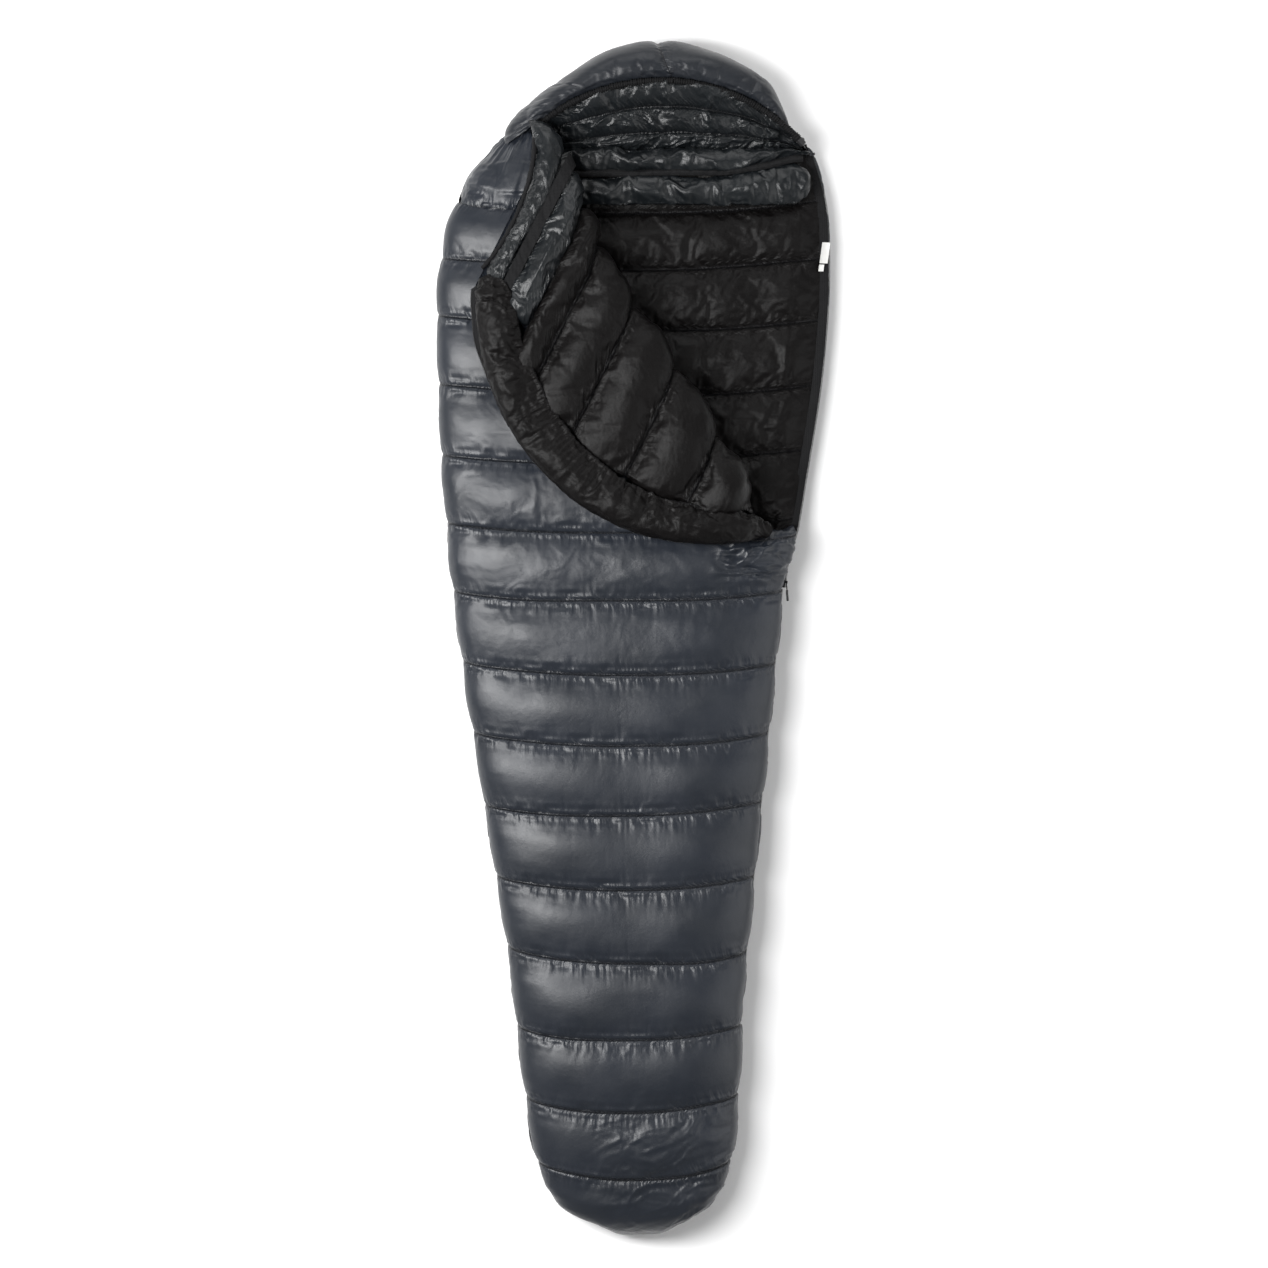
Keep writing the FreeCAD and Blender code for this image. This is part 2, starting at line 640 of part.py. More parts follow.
def make_hood_back():
    ends = [V(x, y, 0) for x, y in (HOOD_OUTLINE[-1], HOOD_OUTLINE[0])]
    plan = Part.Wire([hood_outline(), Part.LineSegment(*ends).toShape()])
    pad = Part.Face(plan).extrude(V(0, 0, HOOD_PAD))
    pad.translate(V(0, 0, FIT))
    keep("hood_back", pad)


def make_hood_crown():
    """The hood's two upper halves, from the face opening out to the outline, with the centre seam between."""
    arc, outline = rim_arc(), hood_outline()
    halves = {
        "hood_crown_left": (0.03, 0.12, 0.22, 0.32, 0.42, 0.497),
        "hood_crown_right": (0.503, 0.6, 0.7, 0.8, 0.9, 0.965),
    }
    for name, shares in halves.items():
        wires = []
        for share in shares:
            place = mix(arc.FirstParameter, arc.LastParameter, share)
            rim, tangent = arc.value(place), arc.tangent(place)[0]
            flat = V(rim.x, rim.y, 0)
            out = V(-tangent.y, tangent.x, 0).normalize()
            hits = Part.LineSegment(flat, flat + out * 300).toShape().distToShape(outline)
            reach = (hits[1][0][0] - flat).Length
            wires.append(crown_wire(flat, out, reach, rim.z))
        keep(name, loft(wires))


def pipe(path, radius):
    """A round bar along an arc."""
    profile = Part.Circle(path.value(path.FirstParameter), path.tangent(path.FirstParameter)[0], radius)
    return Part.Wire([path.toShape()]).makePipeShell([Part.Wire([profile.toShape()])], True, False)


def make_hood_binding():
    """The elastic binding round the face opening, hollow for the drawcord."""
    arc = rim_arc()
    keep("hood_binding", pipe(arc, BINDING_RADIUS).cut(pipe(arc, CORD_RADIUS + 0.9)))
    keep("hood_drawcord", pipe(arc, CORD_RADIUS))


def crown_wire(flat, out, reach, rim_z):
    """A section of the hood's crown, from the face opening's edge out to the bag's outline."""
    inner = BINDING_RADIUS + 2.0
    base = HOOD_PAD + 1.4
    top = rim_z + 8
    points = [
        (inner, rim_z - 4), (inner + 2, rim_z + 4), (mix(inner, reach, 0.45), top),
        (mix(inner, reach, 0.8), mix(base, top, 0.72)), (reach - 2, mix(base, top, 0.3)),
        (reach - 6, base), (mix(inner, reach, 0.7), base), (mix(inner, reach, 0.45), mix(base, top, 0.35)),
        (mix(inner, reach, 0.2), mix(base, top, 0.6)),
    ]
    ring = [flat + out * a + V(0, 0, z) for a, z in points]
    return Part.makePolygon(ring + ring[:1])


def make_cord_lock():
    """The drawcord's end beyond the binding, held in the cord lock with its push button."""
    arc = rim_arc()
    out = arc.tangent(arc.LastParameter)[0]
    keep("hood_drawcord", Part.makeCylinder(CORD_RADIUS, LOCK_GAP + 11.0, RIM_RIGHT, out))
    body = rounded_box(LOCK_SIZE, V(0, 0, 0), 2.4)
    well = Part.makeCylinder(3.3, 9.7, V(-12, 0, 0), V(1, 0, 0))
    bore = Part.makeCylinder(CORD_RADIUS + 0.4, 20, V(0, -15, 0), V(0, 1, 0))
    button = Part.makeCylinder(2.9, 3.4, V(-8.0, 0, 0), V(1, 0, 0))
    body = body.cut(well).cut(bore)
    centre = RIM_RIGHT + out * (LOCK_GAP + LOCK_SIZE[1] / 2)
    placement = FreeCAD.Placement(centre, FreeCAD.Rotation(V(0, 1, 0), out))
    for name, shape in (("cord_lock", body), ("cord_lock_button", button)):
        shape.Placement = placement
        keep(name, shape)


def make_label():
    """The blank care label sewn in at the open zip edge, with a short washing label below it."""
    for y, length in ((672.0, 37.0), (647.5, 10.0)):
        x = zip_x(y) - 14
        top = edge_height(y) + 4.6
        keep("care_label", Part.makeBox(14 if length > 20 else 10, length, 0.6, V(x, y - length / 2, top)))


def main():
    make_back_quilt()
    make_front_quilt()
    make_foot()
    make_zip()
    make_slider()
    make_collar()
    make_flap()
    make_fold()
    make_flap_edge()
    make_hood_back()
    make_hood_crown()
    make_hood_binding()
    make_cord_lock()
    make_label()
    os.makedirs("parts", exist_ok=True)
    for name, shapes in NODES.items():
        solids = [solid for shape in shapes for solid in shape.Solids]
        shape = solids[0] if len(solids) == 1 else Part.makeCompound(solids)
        shape.exportStep(f"parts/{name}.step")
        sound = all(solid.isValid() and solid.Volume > 0 for solid in solids)
        print(name, len(solids), "solids,", "sound" if sound else "NOT SOUND")


main()
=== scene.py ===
"""How the down mummy sleeping bag looks: quilted fabric, zip, trims, light, floor and camera.

Lengths are written in millimetres and turned into metres where a mesh is made. Every quilted surface is a
grid of points whose rows or columns follow its seams. The down swells the fabric between the seams, and the
seams gather it into small puckers.
"""

import math

import bmesh
import bpy
import numpy as np
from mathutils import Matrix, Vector


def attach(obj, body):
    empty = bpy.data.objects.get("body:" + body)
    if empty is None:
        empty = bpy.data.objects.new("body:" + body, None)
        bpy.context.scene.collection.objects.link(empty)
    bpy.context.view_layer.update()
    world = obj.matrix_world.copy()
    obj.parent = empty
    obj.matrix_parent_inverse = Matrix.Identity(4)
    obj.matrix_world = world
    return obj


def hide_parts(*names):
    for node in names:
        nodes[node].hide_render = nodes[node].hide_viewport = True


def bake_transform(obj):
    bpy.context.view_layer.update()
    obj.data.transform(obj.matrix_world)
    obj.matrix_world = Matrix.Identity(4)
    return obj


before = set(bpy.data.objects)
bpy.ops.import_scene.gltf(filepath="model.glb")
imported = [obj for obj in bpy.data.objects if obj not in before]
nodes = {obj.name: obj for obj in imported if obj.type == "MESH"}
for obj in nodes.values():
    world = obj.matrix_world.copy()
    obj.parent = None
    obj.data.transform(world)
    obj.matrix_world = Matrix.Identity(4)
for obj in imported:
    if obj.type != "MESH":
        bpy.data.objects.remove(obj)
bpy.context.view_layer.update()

MM = 0.001

# ---- the bag's own dimensions, as in part.py -----------------------------------------------------

SEAMS = [-944, -828, -699, -567, -438, -310, -185, -61, 64, 187, 309, 428, 543, 649, 752, 851]
FOOT_END = -1052.0
OUTLINE = [
    (-1053, -70, 92), (-1035, -112, 122), (-1000, -146, 152), (-944, -173, 174), (-840, -191, 185),
    (-585, -223, 203), (-310, -266, 231), (6, -314, 262), (260, -338, 305), (470, -347, 337),
    (640, -343, 348), (767, -307, 341), (851, -243, 318),
]
HOOD_OUTLINE = [
    (-238, 855), (-222, 893), (-176, 932), (-131, 974), (-61, 1016), (8, 1043), (46, 1050),
    (115, 1034), (186, 1004), (231, 977), (254, 938), (276, 890), (306, 855),
]
MATE_Z = 66.0
OPEN_EDGE_Z = 40.0
SIDE_DIP = 4.0
SEAM_DIP = 9.5
ZIP_FOOT_Y = -640.0
SLIDER_Y = 92.0
ZIP_CHANNEL = 14.0
ZIP_SLOPE = 0.0997
ZIP_X_AT_SLIDER = 262.0
ZIP_INSET = 8.0
FOLD_Z = 137.0
FOLD_START = np.array([215.0, 150.0])
FOLD_END = np.array([-215.0, 850.0])
ALONG = (FOLD_END - FOLD_START) / np.linalg.norm(FOLD_END - FOLD_START)
ACROSS = np.array([-ALONG[1], ALONG[0]])
SEAM_SLOPE = 0.614

CORNER_SEAM = 187  # up to here the front quilt is whole as far as the zip
INSIDE_Z = 46.0  # the collar and the hood's lining lie at this height, and the hood is widest there
OPEN_LINING_START = -70.0  # the linings begin at the first seam above this, out of sight
NECK_Y = 853.0
HOOD_DEPTH = 190.0  # about how far the hood's shell runs from its rim down to the floor

CELL = 6.4  # spacing of the points while a surface is shaped; it is halved afterwards
SETTLE_FRAMES = 20
LANE_SHIFT = 977  # keeps the puckers of one seam from repeating on the next
UP = (0, 0, 1)


# ---- curves, noise and grids ---------------------------------------------------------------------


def mix(a, b, share):
    return a + (b - a) * share


def ease(value, start, end):
    t = np.clip((np.asarray(value, float) - start) / (end - start), 0, 1)
    return t * t * (3 - 2 * t)


def along_table(table, at, column=1):
    """A smooth curve through one column of a table whose first column is the distance."""
    data = np.array(table, float)
    x, y = data[:, 0], data[:, column]
    slope = np.gradient(y, x)
    at = np.clip(np.asarray(at, float), x[0], x[-1])
    i = np.clip(np.searchsorted(x, at, side="right") - 1, 0, len(x) - 2)
    span = x[i + 1] - x[i]
    t = (at - x[i]) / span
    return (
        y[i] * (1 + 2 * t) * (1 - t) ** 2
        + y[i + 1] * (3 - 2 * t) * t * t
        + span * t * (1 - t) * (slope[i] * (1 - t) - slope[i + 1] * t)
    )


def noise(x, y, seed):
    """Smooth random values from -1 to 1, with one lump to each unit of x and y."""
    table = np.random.default_rng(seed).uniform(-1, 1, (64, 64))
    x, y = np.broadcast_arrays(np.asarray(x, float), np.asarray(y, float))
    xi, yi = np.floor(x).astype(int), np.floor(y).astype(int)
    fx, fy = x - xi, y - yi
    fx = fx * fx * fx * (fx * (fx * 6 - 15) + 10)
    fy = fy * fy * fy * (fy * (fy * 6 - 15) + 10)
    low = mix(table[xi % 64, yi % 64], table[(xi + 1) % 64, yi % 64], fx)
    high = mix(table[xi % 64, (yi + 1) % 64], table[(xi + 1) % 64, (yi + 1) % 64], fx)
    return mix(low, high, fy)


def puckers(along, away, seed, strength=1.0):
    """Gathers that a seam pulls into the fabric: narrow beside it, fewer and wider further away, in mm."""
    away = np.abs(away)
    total = 0.0
    for k, (width, reach, size) in enumerate(((6.5, 8, 1.0), (10, 15, 1.2), (19, 26, 0.55))):
        sway = noise(along / 70, away / 60, seed + 10 * k) * width
        lumps = noise((along + sway) / width, away / (2.4 * reach), seed + 10 * k + 1)
        uneven = 0.65 + 0.6 * noise(along / 110, away * 0, seed + 10 * k + 2)
        total = total + size * uneven * lumps * np.exp(-away / reach)
    return strength * total * (1 - np.exp(-away / 2.5))


def crumple(x, y, seed, size, depth):
    """Sharp-edged creases running every way, for fabric that is pushed together."""
    bent_x = x + size * 0.5 * noise(x / size, y / size, seed + 5)
    bent_y = y + size * 0.5 * noise(x / size, y / size, seed + 6)
    total = 0.0
    for k, scale in enumerate((1.0, 0.55, 0.3)):
        ridge = 1 - 2 * np.abs(noise(bent_x / (size * scale), bent_y / (size * scale), seed + k))
        total = total + scale * ridge
    return depth * total / 1.4


def lobe(share):
    """How far the down swells the fabric: 0 at the seams, 1 midway between them."""
    return np.clip(1 - np.abs(2 * share - 1) ** 2.2, 0, 1) ** 0.68


def grid_normals(points):
    """Unit normals of a grid of points, taken from its columns and rows."""
    across = np.gradient(points, axis=1)
    down = np.gradient(points, axis=0)
    n = np.cross(across, down)
    return n / np.maximum(np.linalg.norm(n, axis=2, keepdims=True), 1e-9)


def normals_up(points, row=None):
    """The normals turned so that the one in the middle of a row points up.

    row is the middle row of the grid if it isn't given.
    """
    n = grid_normals(points)
    row = len(n) // 2 if row is None else row
    return n * np.sign(n[row, n.shape[1] // 2, 2])


def refine(values, smooth=True):
    """A grid with a new row and column between every two.

    They lie on a smooth curve through the old ones, or straight between them for values such as distances
    to a seam.
    """
    for axis in (0, 1):
        v = np.moveaxis(values, axis, 0)
        middle = (v[:-1] + v[1:]) / 2
        if smooth:
            before = np.concatenate([v[:1], v[:-2]])
            after = np.concatenate([v[2:], v[-1:]])
            middle = (9 * (v[:-1] + v[1:]) - before - after) / 16
        out = np.empty((2 * len(v) - 1,) + v.shape[1:])
        out[0::2] = v
        out[1::2] = middle
        values = np.moveaxis(out, 0, axis)
    return values


def blurred(values, axis, reach, closed=False):
    """A running average over the points within reach along one axis of a grid."""
    v = np.moveaxis(values, axis, 0)
    padded = np.pad(v, [(reach, reach)] + [(0, 0)] * (v.ndim - 1), "wrap" if closed else "edge")
    total = sum(padded[k : k + len(v)] for k in range(2 * reach + 1))
    return np.moveaxis(total / (2 * reach + 1), 0, axis)


def settle(
    points, pinned, away, cap, slack=0.05, pressure=2.0, reach=26.0, middle=0.22, smooth=4, closed=False,
    downward=False,
):
    """Lets the fabric settle as cloth, held at its seams and edges and swollen by the down behind it.

    points is a grid in mm, pinned is true where the fabric is sewn and away is the distance from the nearest
    seam. cap limits how far a point moves. slack is how much wider the fabric is than the space it fills,
    which gathers it at the seams. The gathers run out over reach, to the share called middle. smooth is how
    many points the swelling itself is evened out over.
    """
    rows, columns = points.shape[:2]
    mesh = bpy.data.meshes.new("settling")
    faces = outward_faces(points, closed, downward)
    mesh.from_pydata((points.reshape(-1, 3) * MM).tolist(), [], faces.tolist())
    obj = bpy.data.objects.new("settling", mesh)
    scene = bpy.context.scene
    scene.collection.objects.link(obj)
    sewn = obj.vertex_groups.new(name="sewn")
    sewn.add(np.nonzero(np.broadcast_to(pinned, (rows, columns)).ravel())[0].tolist(), 1.0, "REPLACE")
    cloth = obj.modifiers.new("cloth", "CLOTH")
    cloth.settings.quality = 4
    cloth.settings.mass = 0.15
    cloth.settings.bending_stiffness = 0.05
    cloth.settings.use_pressure = True
    cloth.settings.uniform_pressure_force = pressure
    cloth.settings.shrink_min = -slack
    cloth.settings.vertex_group_mass = "sewn"
    cloth.settings.effector_weights.gravity = 0
    cloth.point_cache.frame_end = SETTLE_FRAMES
    for step in range(1, SETTLE_FRAMES + 1):
        scene.frame_set(step)
    settled = obj.evaluated_get(bpy.context.evaluated_depsgraph_get())
    co = np.zeros(rows * columns * 3, np.float32)
    settled.data.vertices.foreach_get("co", co)
    scene.frame_set(1)
    bpy.data.objects.remove(obj)
    move = co.reshape(rows, columns, 3) / MM - points
    size = np.linalg.norm(move, axis=2, keepdims=True)
    move = move * (cap / (cap + size))
    swollen = move
    for _ in range(3):
        swollen = blurred(swollen, 1, smooth, closed)
    fade = middle + (1 - middle) * np.exp(-((np.broadcast_to(away, (rows, columns)) / reach) ** 1.5))
    return points + swollen + (move - swollen) * fade[:, :, None]


def mesh_object(name, vertices, faces, material):
    mesh = bpy.data.meshes.new(name)
    mesh.from_pydata([tuple(v) for v in vertices], [], [tuple(f) for f in faces])
    mesh.validate()
    mesh.polygons.foreach_set("use_smooth", [True] * len(mesh.polygons))
    mesh.materials.append(material)
    obj = bpy.data.objects.new(name, mesh)
    bpy.context.scene.collection.objects.link(obj)
    return obj


def grid_faces(rows, columns, closed):
    index = np.arange(rows * columns).reshape(rows, columns)
    if closed:
        index = np.concatenate([index, index[:, :1]], axis=1)
    corners = (index[:-1, :-1], index[:-1, 1:], index[1:, 1:], index[1:, :-1])
    return np.stack([c.ravel() for c in corners], axis=1)


def outward_faces(points, closed, downward=False):
    """The faces of a grid, facing up or away from the middle of its rows."""
    faces = grid_faces(*points.shape[:2], closed)
    n = grid_normals(points)
    outward = points - points.mean(axis=1, keepdims=True) if closed else np.array([0, 0, 1.0])
    facing = (n * outward).sum() * (-1 if downward else 1)
    return faces if facing > 0 else faces[:, ::-1]


def grid_object(name, points, material, closed=False, attributes=None, downward=False):
    """A mesh from a grid of points in mm, with its values at each point stored under their names."""
    faces = outward_faces(points, closed, downward)
    obj = mesh_object(name, points.reshape(-1, 3) * MM, faces, material)
    for key, values in (attributes or {}).items():
        layer = obj.data.attributes.new(key, "FLOAT", "POINT")
        layer.data.foreach_set("value", np.asarray(values, np.float32).ravel())
    return obj


def even_line(line, count):
    """A line of points spaced evenly along itself."""
    step = np.linalg.norm(np.diff(line, axis=0), axis=1)
    length = np.concatenate([[0], np.cumsum(step)])
    at = np.linspace(0, length[-1], count)
    return np.stack([np.interp(at, length, line[:, k]) for k in range(line.shape[1])], axis=1)


def chamber_rows(seams, cell=CELL):
    """For the rows of a grid: distance, share of its chamber, chamber number, distance from the seam."""
    rows = []
    for i, (a, b) in enumerate(zip(seams, seams[1:])):
        count = max(6, int(round((b - a) / cell)))
        for k in range(count):
            share = k / count
            rows.append((mix(a, b, share), share, i, min(share, 1 - share) * (b - a)))
    rows.append((seams[-1], 1.0, len(seams) - 2, 0.0))
    return [np.array(column) for column in zip(*rows)]


# ---- materials -----------------------------------------------------------------------------------


class Nodes:
    """Short ways to build a material's node tree."""

    def __init__(self, name):
        self.material = bpy.data.materials.new(name)
        self.material.use_nodes = True
        self.tree = self.material.node_tree
        self.shader = self.tree.nodes["Principled BSDF"]

    def add(self, kind, **settings):
        node = self.tree.nodes.new(kind)
        for key, value in settings.items():
            setattr(node, key, value)
        return node

    def link(self, source, target):
        self.tree.links.new(source, target)

    def math(self, operation, a, b=None):
        node = self.add("ShaderNodeMath", operation=operation)
        for socket, value in zip(node.inputs, (a, b)):
            if value is None:
                continue
            if isinstance(value, (int, float)):
                socket.default_value = value
            else:
                self.link(value, socket)
        return node.outputs[0]

    def attribute(self, name):
        return self.add("ShaderNodeAttribute", attribute_name=name).outputs["Fac"]

    def position(self):
        return self.add("ShaderNodeTexCoord").outputs["Object"]

    def noise(self, scale, detail=3.0, roughness=0.5):
        node = self.add("ShaderNodeTexNoise")
        node.inputs["Scale"].default_value = scale
        node.inputs["Detail"].default_value = detail
        node.inputs["Roughness"].default_value = roughness
        self.link(self.position(), node.inputs["Vector"])
        return node.outputs["Fac"]

    def blend_colour(self, factor, one, two):
        node = self.add("ShaderNodeMix", data_type="RGBA")
        self.link(factor, node.inputs[0])
        for socket, value in ((node.inputs[6], one), (node.inputs[7], two)):
            if isinstance(value, (tuple, list)):
                socket.default_value = (*value, 1.0)
            else:
                self.link(value, socket)
        return node.outputs[2]

    def range(self, value, from_low, from_high, to_low, to_high):
        node = self.add("ShaderNodeMapRange")
        limits = {"From Min": from_low, "From Max": from_high, "To Min": to_low, "To Max": to_high}
        for key, number in limits.items():
            node.inputs[key].default_value = number
        self.link(value, node.inputs["Value"])
        return node.outputs["Result"]

    def bump(self, height, distance, strength):
        node = self.add("ShaderNodeBump")
        node.inputs["Strength"].default_value = strength
        node.inputs["Distance"].default_value = distance
        self.link(height, node.inputs["Height"])
        self.link(node.outputs["Normal"], self.shader.inputs["Normal"])

    def gathers(self):
        """The finest puckers along the seams, as a height that fades with distance from the seam."""
        seam = self.attribute("seam")
        along = self.attribute("along")
        total = None
        for width, length, reach, size in ((3.6, 16.0, 13.0, 0.7), (7.0, 34.0, 30.0, 1.0)):
            place = self.add("ShaderNodeCombineXYZ")
            self.link(self.math("DIVIDE", along, width), place.inputs[0])
            self.link(self.math("DIVIDE", seam, length), place.inputs[1])
            lumps = self.add("ShaderNodeTexNoise")
            lumps.inputs["Scale"].default_value = 1.0
            lumps.inputs["Detail"].default_value = 1.0
            self.link(place.outputs[0], lumps.inputs["Vector"])
            fade = self.math("POWER", self.range(seam, 0.0, reach, 1.0, 0.0), 1.5)
            height = self.math("MULTIPLY", self.math("MULTIPLY", lumps.outputs["Fac"], fade), size)
            total = height if total is None else self.math("ADD", total, height)
        return total

    def weave(self, pitch):
        """A plain weave's fine grid, as a height."""
        wave_x = self.add("ShaderNodeTexWave", bands_direction="X")
        wave_y = self.add("ShaderNodeTexWave", bands_direction="Y")
        for wave in (wave_x, wave_y):
            wave.inputs["Scale"].default_value = 0.5 / pitch / 3.14
            self.link(self.position(), wave.inputs["Vector"])
        return self.math("ADD", wave_x.outputs["Fac"], wave_y.outputs["Fac"])


STITCH = 3.2  # length of a stitch and its gap, in mm
THREAD_SHARE = 0.72  # how much of that the thread takes up
# Painted shade: the colour that the fabric is darkened towards along each seam, standing in for the shade in
# the seam's valley.
SEAM_PAINTED_SHADE = (0.004, 0.004, 0.005)
SEAM_SHADE_AMOUNT = 0.6  # how strongly the painted shade in a seam's valley darkens the fabric


def quilt_fabric(name, dark, light, roughness, specular, wrinkle=0.0006, pucker=0.0042):
    """Woven nylon, with its thread along the seams, slight random changes of tone, painted shade beside the
    seams and very fine creases.
    """
    n = Nodes(name)
    patches = n.noise(9.0, 2.0)
    shade = n.blend_colour(n.range(patches, 0.3, 0.7, 0.0, 1.0), dark, light)
    seam = n.attribute("seam")
    along = n.attribute("along")
    # Painted shade: within about 4 mm of a seam the colour is darkened, as if the seam's valley lay in shade.
    near = n.range(seam, 0.8, 4.0, 1.0, 0.0)
    shade = n.blend_colour(n.math("MULTIPLY", near, SEAM_SHADE_AMOUNT), shade, SEAM_PAINTED_SHADE)
    dash = n.math("FRACT", n.math("DIVIDE", along, STITCH))
    thread = n.math("MULTIPLY", n.math("LESS_THAN", dash, THREAD_SHARE), n.math("LESS_THAN", seam, 0.7))
    shade = n.blend_colour(n.math("MULTIPLY", thread, 0.5), shade, light)
    n.link(shade, n.shader.inputs["Base Color"])
    fine = n.noise(150.0, 3.0, 0.6)
    soft = n.noise(38.0, 2.0, 0.5)
    height = n.math("ADD", n.math("MULTIPLY", fine, 0.35), soft)
    height = n.math("ADD", height, n.math("MULTIPLY", n.weave(0.0007), 0.04))
    height = n.math("MULTIPLY", height, wrinkle)
    height = n.math("ADD", height, n.math("MULTIPLY", n.gathers(), pucker))
    n.bump(height, 1.0, 0.8)
    rough = n.range(n.noise(22.0, 2.0), 0.3, 0.7, roughness - 0.05, roughness + 0.05)
    n.link(rough, n.shader.inputs["Roughness"])
    n.shader.inputs["Specular IOR Level"].default_value = specular
    return n.material


def tape_fabric(name, colour, pitch=0.0016):
    """Ribbed woven tape."""
    n = Nodes(name)
    ribs = n.weave(pitch)
    worn = n.noise(60.0, 2.0)
    shade = n.blend_colour(worn, tuple(c * 0.7 for c in colour), tuple(c * 1.5 for c in colour))
    n.link(shade, n.shader.inputs["Base Color"])
    n.shader.inputs["Roughness"].default_value = 0.75
    n.shader.inputs["Specular IOR Level"].default_value = 0.2
    n.bump(ribs, 0.0004, 0.6)
    return n.material


def moulded(name, colour, roughness, metallic=0.0):
    """Plain plastic or metal with a slightly uneven surface."""
    n = Nodes(name)
    worn = n.noise(90.0, 2.0)
    shade = n.blend_colour(worn, tuple(c * 0.8 for c in colour), tuple(c * 1.25 for c in colour))
    n.link(shade, n.shader.inputs["Base Color"])
    rough = n.range(n.noise(220.0, 2.0), 0.3, 0.7, roughness - 0.06, roughness + 0.08)
    n.link(rough, n.shader.inputs["Roughness"])
    n.shader.inputs["Metallic"].default_value = metallic
    n.bump(n.noise(420.0, 2.0), 0.0001, 0.3)
    return n.material


def label_fabric():
    n = Nodes("label_fabric")
    shade = n.blend_colour(n.noise(40.0, 2.0), (0.55, 0.55, 0.53), (0.7, 0.7, 0.68))
    n.link(shade, n.shader.inputs["Base Color"])
    n.shader.inputs["Roughness"].default_value = 0.6
    n.bump(n.weave(0.0008), 0.0003, 0.4)
    return n.material


SHELL = quilt_fabric("shell_fabric", (0.011, 0.0135, 0.0185), (0.0155, 0.0185, 0.025), 0.38, 0.36)
# Painted shade: the hood is the shell's own fabric, given a darker base colour than the shell to stand in for
# the shade on the hood.
HOOD_SHELL_SHADED = quilt_fabric("hood_fabric", (0.0095, 0.0112, 0.0145), (0.0135, 0.0155, 0.0195), 0.4, 0.3)
# Painted shade: a grey fabric like the shell's, painted much darker than the shell to stand in for the shade
# in which the collar, the flap's collar and the hood's lining lie.
COLLAR_SHADED_FABRIC = quilt_fabric(
    "collar_fabric", (0.0045, 0.0056, 0.0066), (0.0066, 0.0082, 0.0096), 0.33, 0.34, wrinkle=0.0014,
)
LINING = quilt_fabric(
    "lining_fabric", (0.0027, 0.0023, 0.0023), (0.0038, 0.0033, 0.0033), 0.4, 0.12, wrinkle=0.002,
    pucker=0.005,
)
TAPE_BLACK = (0.0035, 0.0035, 0.004)
TAPE = tape_fabric("zip_tape", TAPE_BLACK)
ELASTIC = tape_fabric("elastic_tape", TAPE_BLACK, 0.0012)
TEETH = moulded("zip_teeth", (0.006, 0.006, 0.0065), 0.42)
METAL = moulded("slider_metal", (0.07, 0.07, 0.075), 0.32, 0.9)
PLASTIC = moulded("lock_plastic", (0.014, 0.014, 0.015), 0.45)
CORD = tape_fabric("drawcord", (0.014, 0.014, 0.015), 0.001)
LABEL = label_fabric()


# ---- the two quilts ------------------------------------------------------------------------------


def zip_x(y):
    """The zip chain's straight line, which above the slider runs over into the open quilt's edge."""
    straight = ZIP_X_AT_SLIDER - ZIP_SLOPE * (SLIDER_Y - np.asarray(y, float))
    return mix(straight, along_table(OUTLINE, y, 2) - ZIP_INSET, ease(y, SLIDER_Y + 10, SLIDER_Y + 100))


def channel_depth(y):
    return ZIP_CHANNEL * ease(y, ZIP_FOOT_Y - 110, ZIP_FOOT_Y - 20)


def bag_sides(y):
    left = along_table(OUTLINE, y, 1)
    right = along_table(OUTLINE, y, 2)
    return left, mix(right, zip_x(y) + ZIP_INSET, ease(y, ZIP_FOOT_Y - 60, ZIP_FOOT_Y))


def edge_height(y):
    return mix(MATE_Z, OPEN_EDGE_Z, ease(y, SLIDER_Y + 30, SLIDER_Y + 190))


def foot_closing(y):
    """1 along the bag, falling to 0 at the foot's end, on a rounded curve."""
    t = np.clip((SEAMS[0] + 20 - np.asarray(y, float)) / (SEAMS[0] + 20 - FOOT_END), 0, 1)
    return np.sqrt(np.clip(1 - t**2.6, 0, 1))


def mate_height(y):
    return mix(54.0, MATE_Z, foot_closing(y))


def seam_bow(side, number, seed):
    """How far a seam strays along the bag from its straight line, across the bag from side -1 to 1."""
    rng = np.random.default_rng(seed + number)
    ends = 22 + 1.4 * max(0, 9 - number)
    wander = 4.0 * noise(side * 1.6 + 7, number * 3.7 + side * 0, seed)
    return ends * (np.abs(side) ** 2.2 - 0.35) + rng.uniform(-3, 4) * side + wander


def bowed(rows_y, share, number, side, seed):
    """The rows of a grid moved along the bag to follow their bowed seams."""
    count = int(number.max()) + 2
    bows = np.stack([seam_bow(side, i, seed) for i in range(count)])
    low, high = bows[number], bows[number + 1]
    return rows_y[:, None] + mix(low, high, share[:, None])


def front_rise(y):
    return mix(56.0, 70.0, ease(y, -1000, -700)) * foot_closing(y)


def half_section(left, right, middle_z, reach_z, power, channel, count, sign):
    """Half of the bag's section as (x, z) points from the left side line to the right one."""
    angle = np.linspace(math.pi, 0, 400)
    cos, sin = np.cos(angle), np.sin(angle)
    x = (left + right) / 2 + (right - left) / 2 * np.sign(cos) * np.abs(cos) ** (2 / power)
    rise = reach_z * np.abs(sin) ** (2 / power)
    at_zip = (x > (left + right) / 2) * (1 - ease(rise, 6, 24))
    line = np.stack([x - channel * at_zip, middle_z + sign * rise], axis=1)
    return even_line(line, count)


